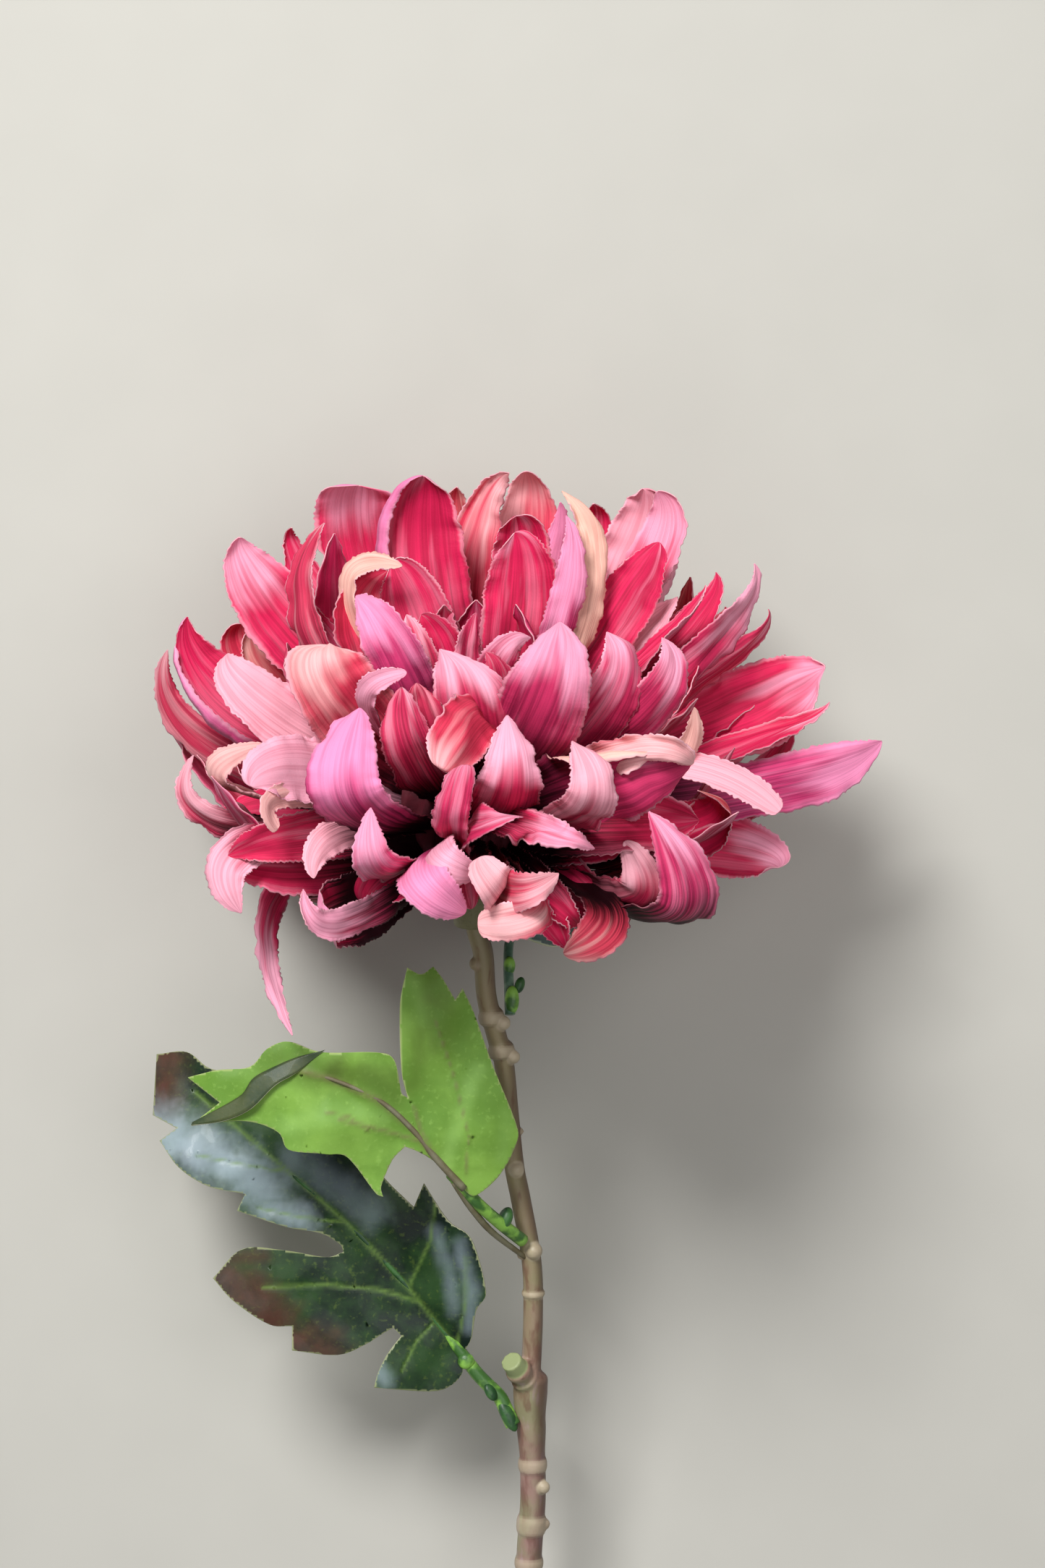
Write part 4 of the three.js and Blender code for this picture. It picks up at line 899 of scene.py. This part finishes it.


# Marks where the stem is cream, where it is the stub's green cap, and how far round its right side the
# painted shade reaches
def paintStem(bm):
    cream = bm.verts.layers.float.new("stemCream")
    shade = bm.verts.layers.float.new("stemPaintedShade")
    low = bm.verts.layers.float.new("stemLow")
    cap = bm.verts.layers.float.new("stubCap")
    knobPlaces = [(stemAt(y)[0] + Vector((across, 0, up)), radius, share)
                  for y, radius, across, up, share in stem["knobs"]]
    stubFoot = stemAt(stem["knotY"])[0]
    places = [stemAt(y)[0] for y in stemYs]
    heights = [place.y for place in places]
    for vert in bm.verts:
        index = min(len(heights) - 1, bisect_left(heights, vert.co.y))
        y, place = stemYs[index], places[index]
        offset = vert.co - place
        share = 0
        for knob, radius, knobShare in knobPlaces:
            onKnob = 1 - smooth((vert.co - knob).length, radius, radius * 1.35)
            share = max(share, knobShare * onKnob)
        for ringY, _, length in stem["rings"]:
            share = max(share, 0.75 * (1 - smooth(abs(y - ringY), length * 0.3, length * 0.75)))
        fromFoot = vert.co - stubFoot
        onStub = fromFoot.dot(stem["stubDirection"])
        fromStub = (fromFoot - stem["stubDirection"] * onStub).length
        vert[cream] = share
        vert[shade] = smooth(offset.x / 3, 0.0, 0.8)
        vert[low] = smooth(-y, 60, 150)
        vert[cap] = smooth(onStub, 6.6, 7.2) * (1 - smooth(fromStub, 2.6, 3))


def stemMaterial():
    material, wire = startMaterial("mouldedStem")
    place = objectPlace(wire)
    stretch = wire.node("Mapping", inputs={"Vector": place, "Scale": (1, 0.22, 1)})
    streaks = cloud(wire, stretch, 420, 3)
    patches = cloud(wire, place, 110, 3)
    grain = cloud(wire, place, 1500, 2)
    cream = attribute(wire, "stemCream")
    shade = attribute(wire, "stemPaintedShade")
    low = attribute(wire, "stemLow")
    cap = attribute(wire, "stubCap")
    upper = blend(wire, srgb(134, 132, 88), srgb(146, 124, 100), patches)
    lower = blend(wire, srgb(146, 142, 110), srgb(158, 124, 116), step(wire, patches, 0.35, 0.65))
    colour = blend(wire, upper, lower, low)
    colour = blend(wire, colour, srgb(104, 58, 46), step(wire, streaks, 0.5, 0.66) * 0.55)
    colour = blend(wire, colour, srgb(176, 150, 156), step(wire, 1 - streaks, 0.56, 0.68) * low * 0.6)
    # Painted shade darkens the stem's right side
    colour = blend(wire, colour, srgb(76, 46, 38), shade * 0.7)
    colour = blend(wire, colour, srgb(186, 172, 146), cream * 0.85)
    colour = blend(wire, colour, srgb(150, 162, 112), cap)
    roughness = 0.4 + patches * 0.2
    endMaterial(wire, colour, roughness, streaks * 0.7 + grain * 0.3, (0.4, 0.3))
    return material


makeStem()
print("stem made")

leafCut = {
    "cell": 0.7, "thickness": 0.5, "veinWidth": 0.42, "veinRise": 0.3, "pucker": 0.8, "corner": 62,
    "petioleRadii": (1.15, 1.1, 1.05, 1.0, 0.8, 0.3), "ribRadii": (0.85, 0.75, 0.62, 0.5, 0.4, 0.2),
    "secondRibRadii": (0.55, 0.7, 0.75, 0.7), "tubeSides": 14,
}


# Distances along a line from the base at an angle, and beside it
def alongAndBeside(base, angle):
    c, s = cos(radians(angle)), sin(radians(angle))

    def measure(x, y):
        dx, dy = x - base[0], y - base[1]
        return dx * c + dy * s, dx * s - dy * c
    return measure


def distanceToLine(x, y, line):
    best = 1e9
    for a, b in zip(line, line[1:]):
        near, part = intersect_point_line((x, y), a, b)
        part = min(1, max(0, part))
        best = min(best, hypot(x - a[0] - (b[0] - a[0]) * part, y - a[1] - (b[1] - a[1]) * part))
    return best


# The blade: its outline is filled, cut into a fine grid, raised by its height and veined
def addBlade(bm, outline, height, veins, spots, side):
    line = smoothLine(outline, 6, closed=True, corner=leafCut["corner"])
    rim = [bm.verts.new((point.x, point.y, 0)) for point in line]
    edges = [bm.edges.new(pair) for pair in zip(rim, rim[1:] + rim[:1])]
    bmesh.ops.triangle_fill(bm, edges=edges, use_beauty=True, normal=(0, 0, 1))
    cell = leafCut["cell"]
    lows = [min(point[axis] for point in line) for axis in (0, 1)]
    highs = [max(point[axis] for point in line) for axis in (0, 1)]
    for axis in (0, 1):
        normal = [0, 0, 0]
        normal[axis] = 1
        for i in range(1, int((highs[axis] - lows[axis]) / cell) + 1):
            middle = [0, 0, 0]
            middle[axis] = lows[axis] + i * cell
            bmesh.ops.bisect_plane(bm, geom=bm.verts[:] + bm.edges[:] + bm.faces[:], plane_co=middle,
                                   plane_no=normal, dist=1e-4)
    bmesh.ops.triangulate(bm, faces=[face for face in bm.faces if len(face.verts) > 4])
    vein = bm.verts.layers.float.new("leafVein")
    margin = bm.verts.layers.float.new("leafMargin")
    spot = bm.verts.layers.float.new("leafSpot")
    sheenPaint = bm.verts.layers.float.new("leafPaintedSheen")
    for vert in bm.verts:
        x, y = vert.co.x, vert.co.y
        nearVein = min(distanceToLine(x, y, points) / width for points, width in veins)
        share = exp(-(nearVein / leafCut["veinWidth"]) ** 2)
        vert[vein] = share
        vert[margin] = 1 if vert.is_boundary else 0
        frayed = noise.noise(Vector((x * 0.3, y * 0.3, 7))) + 0.5 * noise.noise(Vector((x, y, 2)))
        # The pale marks are painted sheen: glossy reflections laid into the colour
        for layer, marks in ((spot, spots["red"]), (sheenPaint, spots["pale"])):
            vert[layer] = max(
                share * (1 - smooth(distanceToLine(x, y, points) / wide + 0.3 * frayed, -0.1, 1.3))
                for points, wide, share in marks)
        pucker = noise.noise(Vector((x * 0.16, y * 0.16, 3))) * leafCut["pucker"]
        vert.co = sight(x, y, height(x, y) + pucker + side * leafCut["veinRise"] * share)


# A closed tube along points, its radius given at each
def addTube(bm, points, radii, material=0):
    older = set(bm.verts)
    sides = leafCut["tubeSides"]
    line = smoothLine(points, 8)
    sizes = [value.x for value in smoothLine([(radius, 0) for radius in radii], 8)]
    grid = bmesh.ops.create_grid(bm, x_segments=sides, y_segments=len(line) - 1, size=1)["verts"]
    for i, vert in enumerate(grid):
        station, angle = i // (sides + 1), 2 * pi * (i % (sides + 1)) / sides
        low, high = line[max(0, station - 1)], line[min(len(line) - 1, station + 1)]
        turn = Vector((0, 0, 1)).rotation_difference(high - low)
        vert.co = line[station] + turn @ Vector((-sin(angle), cos(angle), 0)) * sizes[station]
    bmesh.ops.remove_doubles(bm, verts=grid, dist=1e-4)
    faces = [face for face in bm.faces if face.verts[0] not in older]
    ends = [edge for edge in bm.edges if edge.is_boundary and edge.verts[0] not in older]
    faces += bmesh.ops.holes_fill(bm, edges=ends, sides=sides)["faces"]
    bmesh.ops.recalc_face_normals(bm, faces=faces)
    for face in faces:
        face.material_index = material


def addBud(bm, place, radius, stretch, direction, material):
    verts = bmesh.ops.create_icosphere(bm, subdivisions=3, radius=radius)["verts"]
    turn = Vector((0, 0, 1)).rotation_difference(direction)
    for vert in verts:
        vert.co = place + turn @ Vector([value * scale for value, scale in zip(vert.co, stretch)])
    for face in {face for vert in verts for face in vert.link_faces}:
        face.material_index = material


def leafMaterial(name, look):
    material, wire = startMaterial(name)
    place = objectPlace(wire)
    mottle = cloud(wire, place, look["mottleScale"], 4, 0.6)
    fine = cloud(wire, place, 900, 3)
    vein = attribute(wire, "leafVein")
    spot = attribute(wire, "leafSpot")
    pale = attribute(wire, "leafPaintedSheen")
    colour = blend(wire, srgb(*look["dark"]), srgb(*look["light"]), step(wire, mottle, 0.36, 0.66))
    colour = blend(wire, colour, srgb(*look["speck"]), step(wire, fine, 0.55, 0.75) * 0.5)
    colour = blend(wire, colour, srgb(*look["red"]), spot * (0.35 + step(wire, mottle, 0.35, 0.62) * 0.6))
    # Painted sheen: the pale marks take a pale or grey-blue reflection colour
    colour = blend(wire, colour, srgb(*look["sheenPaintColour"]), pale * look["sheenPaintShare"])
    colour = blend(wire, colour, srgb(*look["vein"]), vein * look["veinShare"])
    margin = step(wire, attribute(wire, "leafMargin"), 0.1, 0.8)
    colour = blend(wire, colour, srgb(*look["margin"]), margin * 0.7)
    roughness = look["roughness"] + fine * 0.12
    endMaterial(wire, colour, roughness, fine * 0.5 + mottle * 0.5, (0.3, 0.3),
                Coat_Weight=look["coat"], Specular_IOR_Level=0.28)
    return material


def stalkMaterial(name, first, second):
    material, wire = startMaterial(name)
    place = objectPlace(wire)
    patches = cloud(wire, place, 260, 3)
    fine = cloud(wire, place, 1500, 2)
    colour = blend(wire, srgb(*first), srgb(*second), step(wire, patches, 0.4, 0.62))
    endMaterial(wire, colour, patches * 0.2 + 0.35, fine, (0.3, 0.2))
    return material


# In each look the pale colour and its share are painted sheen
leafLooks = {
    "lowerFace": {
        "dark": (12, 30, 22), "light": (40, 70, 32), "speck": (84, 104, 42), "red": (84, 46, 38),
        "sheenPaintColour": (162, 180, 188), "sheenPaintShare": 0.8, "vein": (112, 144, 66), "veinShare": 0.6,
        "margin": (168, 176, 128), "mottleScale": 90, "roughness": 0.42, "coat": 0.06,
    },
    "lowerBack": {
        "dark": (104, 140, 74), "light": (122, 158, 84), "speck": (134, 166, 92), "red": (128, 96, 70),
        "sheenPaintColour": (140, 170, 100), "sheenPaintShare": 0.2, "vein": (138, 128, 92), "veinShare": 0.7,
        "margin": (168, 176, 128), "mottleScale": 70, "roughness": 0.5, "coat": 0.0,
    },
    # On this face the red dye is a dark olive, used for painted shade
    "upperFace": {
        "dark": (100, 142, 50), "light": (126, 168, 68), "speck": (138, 178, 82), "red": (76, 98, 30),
        "sheenPaintColour": (152, 196, 104), "sheenPaintShare": 0.4, "vein": (118, 104, 74), "veinShare": 0.55,
        "margin": (176, 192, 124), "mottleScale": 60, "roughness": 0.48, "coat": 0.0,
    },
    "upperBack": {
        "dark": (44, 62, 40), "light": (72, 82, 48), "speck": (90, 92, 56), "red": (96, 70, 48),
        "sheenPaintColour": (104, 110, 84), "sheenPaintShare": 0.3, "vein": (96, 112, 66), "veinShare": 0.5,
        "margin": (190, 186, 160), "mottleScale": 90, "roughness": 0.44, "coat": 0.04,
    },
    "backFace": {
        "dark": (70, 96, 84), "light": (112, 128, 122), "speck": (124, 136, 130), "red": (90, 80, 60),
        "sheenPaintColour": (140, 156, 160), "sheenPaintShare": 0.6, "vein": (120, 140, 110), "veinShare": 0.5,
        "margin": (160, 170, 140), "mottleScale": 80, "roughness": 0.34, "coat": 0.2,
    },
}
cutLeafEdge = stalkMaterial("leafCutEdge", (172, 178, 140), (196, 196, 168))
greenStalk = stalkMaterial("greenStalk", (58, 100, 42), (136, 188, 76))
tealStalk = stalkMaterial("tealStalk", (78, 112, 92), (120, 150, 128))
brownStalk = stalkMaterial("brownStalk", (120, 116, 92), (104, 96, 70))
darkStipule = stalkMaterial("darkStipule", (30, 66, 34), (58, 104, 48))
stalkDyes = [greenStalk, brownStalk, darkStipule, darkStipule]
backStalkDyes = [tealStalk, tealStalk, darkStipule, greenStalk]

lowerLeaf = {
    "outline": [
        (-2.2, -107.5), (-2.7, -112), (-7.7, -115.2), (-20.8, -114.5), (-20, -111.5), (-18.1, -107.7),
        (-15.1, -103.7), (-16.8, -102), (-18.6, -103), (-23, -105.7), (-28.5, -107.7), (-37.9, -106.8),
        (-37.9, -101.6), (-42.7, -101.3), (-50, -96.6), (-54.4, -91.7), (-48.3, -85.6), (-39.4, -85.9),
        (-30.7, -87.3), (-27.2, -86.2), (-27.9, -84.6), (-31.9, -82.3), (-39.4, -80.9), (-49.4, -77.6),
        (-47.7, -74.1), (-55.4, -72.5), (-61.5, -68.6), (-65.5, -63.1), (-61.9, -60.4), (-66.9, -57.7),
        (-66.1, -45), (-59.8, -44.5), (-54.8, -48), (-42, -51), (-36, -58), (-27, -60), (-19.2, -70.2),
        (-12.5, -76.9), (-10.4, -71.9), (-5.4, -79.6), (-0.5, -83.5), (2.6, -94.7), (0.6, -98.3),
        (-0.5, -104.3),
    ],
    "veins": [
        ([(-3.5, -106), (-13.6, -93.6), (-26.4, -80), (-38.5, -69.5), (-49, -60.4), (-58, -53)], 1.2),
        ([(-11, -96.5), (-20, -94), (-31, -93), (-44, -93.5)], 1.0),
        ([(-8, -100.5), (-12, -105), (-15, -111)], 0.8),
        ([(-13.6, -93.6), (-9, -84), (-8, -76)], 0.8),
        ([(-26.4, -80), (-36, -79), (-45, -77)], 0.8),
        ([(-38.5, -69.5), (-48, -68), (-58, -66)], 0.7),
        ([(-3.5, -106), (-1.5, -96), (-1.5, -87)], 0.8),
    ],
    "spots": {
        "red": [([(-55, -91), (-46, -96), (-42, -100)], 7, 1), ([(-38, -105), (-31, -106)], 6, 1),
                ([(-66, -56), (-64, -46)], 6, 1), ([(-53, -88), (-44, -87)], 3, 0.6)],
        # The pale marks are painted sheen
        "pale": [([(-66, -61), (-56, -65), (-44, -72)], 7, 1), ([(-44, -77), (-36, -79)], 4, 0.8),
                 ([(-20.5, -110), (-18.5, -113)], 2.5, 0.6), ([(-8, -82), (-5, -90), (-4, -98)], 2.2, 0.4),
                 ([(-3, -85), (-0.5, -94), (-1, -102)], 2.2, 0.5),
                 ([(-38, -67), (-30, -71), (-21, -78)], 4.5, 0.45)],
    },
    "petiole": [(8.3, -122.4, -27.6), (6.8, -119.3, -28), (5.3, -116.3, -28), (0.8, -111.7, -27.5),
                (-3.5, -106, -27.2), (-7, -102, -26.8)],
    "petioleSize": 1.5, "ribDye": 2,
    "buds": [        # dye, place, radius, stretch, direction
        (3, (7.2, -120.4, -27), 1.7, (0.9, 0.7, 2.2), (0.5, -1, 0.1)),
        (0, (-1.6, -109, -26.4), 1.5, (1.2, 0.7, 1.2), (0, 1, 0)),
        (2, (3.6, -115.5, -26.4), 1.3, (1, 0.7, 1.6), (0.6, -1, 0)),
    ],
}
lowerAlong = alongAndBeside((-2.7, -107), 136)


def lowerHeight(x, y):
    s, beside = lowerAlong(x, y)
    arch = -27 + 4 * sin((s / 55) * pi / 2) - 14 * max(0, (s - 50) / 40) ** 2
    fold = 0.5 * beside * max(0, 1 - s / 80) if beside > 0 else -0.12 * beside
    return arch + fold + 0.8 * sin(s / 5) * min(1, abs(beside) / 14)


upperLeaf = {
    "outline": [
        (-0.8, -74.2), (-5.3, -69.5), (-10, -66), (-14.3, -64.2), (-17, -67), (-19.3, -72.5),
        (-18.9, -74.7), (-20.4, -74), (-26.4, -66.4), (-31, -65.7), (-38.5, -64.9), (-40.8, -61.2),
        (-47.6, -58.9), (-58.9, -59.6), (-53, -55), (-59.6, -49.8), (-53.6, -48.3), (-46.8, -47.6),
        (-43, -43.8), (-38.5, -42.3), (-31.7, -44.5), (-20.4, -44.5), (-16.6, -46), (-15.1, -52.9),
        (-13.8, -54), (-15.1, -48.3), (-15.4, -34.7), (-13.9, -26.9), (-11, -28.3), (-8.4, -26.7),
        (-6.2, -29.6), (-3.9, -33.6), (-2.4, -31.2), (0, -36.2), (3.8, -46.8), (9.1, -60.4), (8.3, -64.9),
        (5.3, -70.2), (1.4, -73.8),
    ],
    "veins": [
        ([(-2, -73), (-8, -66.5), (-13, -60.4), (-20, -54.4), (-30, -50), (-40, -47.5)], 1.5),
        ([(-8, -66.5), (-11, -61), (-12.5, -56)], 1.0),
        ([(-11, -63), (-20, -60.5), (-28, -58.6)], 1.0),
        ([(-2, -73), (-1, -62), (-4, -50), (-8, -38)], 0.5),
        ([(-22, -61), (-26, -58), (-31, -57)], 0.6),
    ],
    "spots": {
        # The red marks darken this leaf to a dark olive; the last one, above the rib, is painted shade where
        # the blade curves away from the light
        "red": [([(-18, -58), (-12, -50), (-11, -40)], 3, 0.5),
                ([(-12, -28), (-8, -34), (-6, -40)], 7, 0.75),
                ([(-42, -46), (-33, -48), (-24, -50), (-17, -53)], 5, 1)],
        # The pale marks are painted sheen
        "pale": [([(-6, -68), (-2, -56), (1, -48)], 2.2, 0.9),
                 ([(-38, -60), (-28, -57), (-20, -58)], 3, 0.8),
                 ([(6, -66), (7, -58)], 2.5, 0.7), ([(-12, -30), (-11, -38)], 2, 0.4)],
    },
    "petiole": [(10.2, -83.8, -17.3), (5.3, -80, -11.5), (1.2, -76.4, -7), (-2, -73, -5), (-5, -70, -3.2)],
    "petioleSize": 1.25, "ribDye": 1,
    "secondRib": [(11, -87.5, -20.5), (3.8, -82, -12), (-0.5, -77, -7.2), (-4.2, -71.5, -3.6)],
    "buds": [(2, (6.6, -79.2, -12.6), 2.1, (0.7, 0.9, 1.2), (0.4, 1, 0))],
    "flap": {    # the margin that turns over and shows the dark face: fold line, then cut edge
        "fold": [(-58.6, -59.2), (-48.5, -53.5), (-46, -50), (-42.5, -48), (-37, -45.6), (-31, -44)],
        "cut": [(-58.9, -59.8), (-52, -58.8), (-46.6, -56.4), (-41.5, -51.5), (-37, -48.8), (-31.5, -44.4)],
        "rise": 1.5, "clear": 0.4, "rows": 6,
    },
}
upperAlong = alongAndBeside((-1, -74), 140)


def upperHeight(x, y):
    s, beside = upperAlong(x, y)
    arch = -4 + 7 * sin(min(1, s / 45) * pi / 2) - 12 * max(0, (s - 40) / 30) ** 2
    fold = 0.16 * abs(beside) - 0.008 * beside * beside
    return arch + fold + 1.0 * sin(s / 4) * min(1, abs(beside) / 12)


backLeaf = {
    "outline": [
        (8.6, -19.5), (13, -21.5), (17.5, -22.4), (21, -20), (27, -21.4), (29, -16.6), (34, -13.5),
        (29, -10.5), (25.5, -8.2), (19, -9.2), (12.6, -11.4), (9, -14.4),
    ],
    "veins": [
        ([(9.6, -18.2), (15, -15.4), (21, -13.4), (27, -12.4)], 1.0),
        ([(15, -15.4), (18, -19), (20, -21)], 0.7),
        ([(21, -13.4), (25, -16), (27, -19)], 0.7),
    ],
    "spots": {
        "red": [([(34, -13.5), (31, -13)], 3, 1)],
        # The pale marks are painted sheen
        "pale": [([(14, -20), (18, -18)], 3, 0.8), ([(22, -17), (27, -15)], 3, 0.6)],
    },
    "petiole": [(7.6, -36.6, -11.3), (7.4, -31, -13), (7.2, -25.5, -15.5), (7.6, -21, -18.6),
                (9.6, -18.2, -20.2), (13, -16.4, -22)],
    "petioleSize": 1, "ribDye": 1,
    "buds": [
        (3, (8, -33.6, -11), 1.7, (0.9, 0.7, 1.8), (0, 1, 0)),
        (3, (7.5, -26.4, -14), 1.4, (0.9, 0.8, 1.4), (0, 1, 0)),
        (2, (9.6, -30.5, -12), 1.2, (0.9, 0.8, 1.5), (0.3, 1, 0)),
    ],
}


def backHeight(x, y):
    return -20 - 0.5 * (x - 9) + 0.05 * (y + 15) * (y + 15)


# side is 1 where the leaf's pale underside is turned to the eye, and -1 where its face is
def makeLeaf(name, leaf, height, side, faces, stalkDyes, node):
    bm = bmesh.new()
    addBlade(bm, leaf["outline"], height, leaf["veins"], leaf["spots"], side)
    blade = finish(name, bm, [*faces, cutLeafEdge], node)
    addWall(blade, leafCut["thickness"])
    bm = bmesh.new()
    petiole = [sight(*point) for point in leaf["petiole"]]
    radii = [size * leaf["petioleSize"] for size in leafCut["petioleRadii"]]
    addTube(bm, petiole, radii[:len(petiole)])
    rib = [sight(x, y, height(x, y) + (0.25 if side > 0 else -0.75)) for x, y in leaf["veins"][0][0]]
    addTube(bm, rib, leafCut["ribRadii"][:len(rib)], leaf["ribDye"])
    if "secondRib" in leaf:
        addTube(bm, [sight(*point) for point in leaf["secondRib"]], leafCut["secondRibRadii"], leaf["ribDye"])
    for dye, place, radius, stretch, direction in leaf["buds"]:
        addBud(bm, sight(*place), radius, stretch, Vector(direction).normalized(), dye)
    finish(name + "Stalk", bm, stalkDyes, node)


def makeFlap(darkSide):
    flap = upperLeaf["flap"]
    fold, cut = smoothLine(flap["fold"], 10), smoothLine(flap["cut"], 10)
    bm = bmesh.new()
    columns, rows = len(fold) - 1, flap["rows"]
    grid = bmesh.ops.create_grid(bm, x_segments=columns, y_segments=rows, size=1)["verts"]
    for i, vert in enumerate(grid):
        column, row = i % (columns + 1), i // (columns + 1)
        part = row / rows
        point = cut[column].lerp(fold[column], part)
        lift = flap["clear"] + flap["rise"] * (1 - part) * sin(pi * min(1, 0.1 + column / columns))
        vert.co = sight(point.x, point.y, upperHeight(point.x, point.y) + lift)
    piece = finish("foldedLobe", bm, [darkSide, darkSide, cutLeafEdge], "leaf_upper")
    addWall(piece, leafCut["thickness"])


def makeLeaves():
    darkSide = leafMaterial("leafDarkSide", leafLooks["upperBack"])
    lowerFaces = [leafMaterial("lowerLeafFace", leafLooks["lowerFace"]),
                  leafMaterial("lowerLeafBack", leafLooks["lowerBack"])]
    makeLeaf("lowerLeaf", lowerLeaf, lowerHeight, -1, lowerFaces, stalkDyes, "leaf_lower")
    upperFaces = [leafMaterial("upperLeafFace", leafLooks["upperFace"]), darkSide]
    makeLeaf("upperLeaf", upperLeaf, upperHeight, 1, upperFaces, stalkDyes, "leaf_upper")
    backFaces = [leafMaterial("backLeafFace", leafLooks["backFace"]),
                 leafMaterial("backLeafBack", leafLooks["lowerBack"])]
    makeLeaf("backLeaf", backLeaf, backHeight, -1, backFaces, backStalkDyes, "leaf_back")
    makeFlap(darkSide)


makeLeaves()
print("leaves made")

studio = {
    "floorSize": 3.0, "floorColours": ((188, 186, 178), (194, 192, 184)),
    "lens": 87.97, "farthest": 20,
    "lights": [     # place from the heart in metres, size, watts
        ((-0.4, 0.7, 0.95), 0.5, 18),
        ((0.45, 0.1, 1.1), 0.9, 4.6),
        ((-0.1, -0.7, 0.9), 0.8, 2.0),
    ],
    "world": (0.86, 0.87, 0.9), "worldStrength": 0.1,
}


def makeFloor():
    bm = bmesh.new()
    bmesh.ops.create_grid(bm, x_segments=1, y_segments=1, size=studio["floorSize"])
    mesh = bpy.data.meshes.new("floor")
    bm.to_mesh(mesh)
    bm.free()
    material, wire = startMaterial("paleFloor")
    grain = cloud(wire, objectPlace(wire), 40, 2)
    colour = blend(wire, *[srgb(*tint) for tint in studio["floorColours"]], grain)
    endMaterial(wire, colour, grain * 0.1 + 0.75, grain, (0.05, 0.2))
    mesh.materials.append(material)
    floor = bpy.data.objects.new("floor", mesh)
    bpy.context.scene.collection.objects.link(floor)


def makeLights():
    for number, (place, size, watts) in enumerate(studio["lights"]):
        lamp = bpy.data.lights.new(f"softbox{number}", "AREA")
        lamp.shape = "DISK"
        lamp.size = size
        lamp.energy = watts
        softbox = bpy.data.objects.new(lamp.name, lamp)
        softbox.location = heart + Vector(place)
        softbox.rotation_mode = "QUATERNION"
        softbox.rotation_quaternion = Vector(place).to_track_quat("Z", "Y")
        bpy.context.scene.collection.objects.link(softbox)
    world = bpy.data.worlds.new("studio")
    world.use_nodes = True
    background = world.node_tree.nodes["Background"]
    background.inputs["Color"].default_value = (*studio["world"], 1)
    background.inputs["Strength"].default_value = studio["worldStrength"]
    bpy.context.scene.world = world


def makeCamera():
    lens = bpy.data.cameras.new("photoCamera")
    lens.lens = studio["lens"]
    lens.clip_end = studio["farthest"]
    camera = bpy.data.objects.new("photoCamera", lens)
    camera.location = heart + eye * mm
    bpy.context.scene.collection.objects.link(camera)
    bpy.context.scene.camera = camera
    bpy.context.scene.view_settings.view_transform = "Standard"


makeFloor()
makeLights()
makeCamera()
print("scene made")
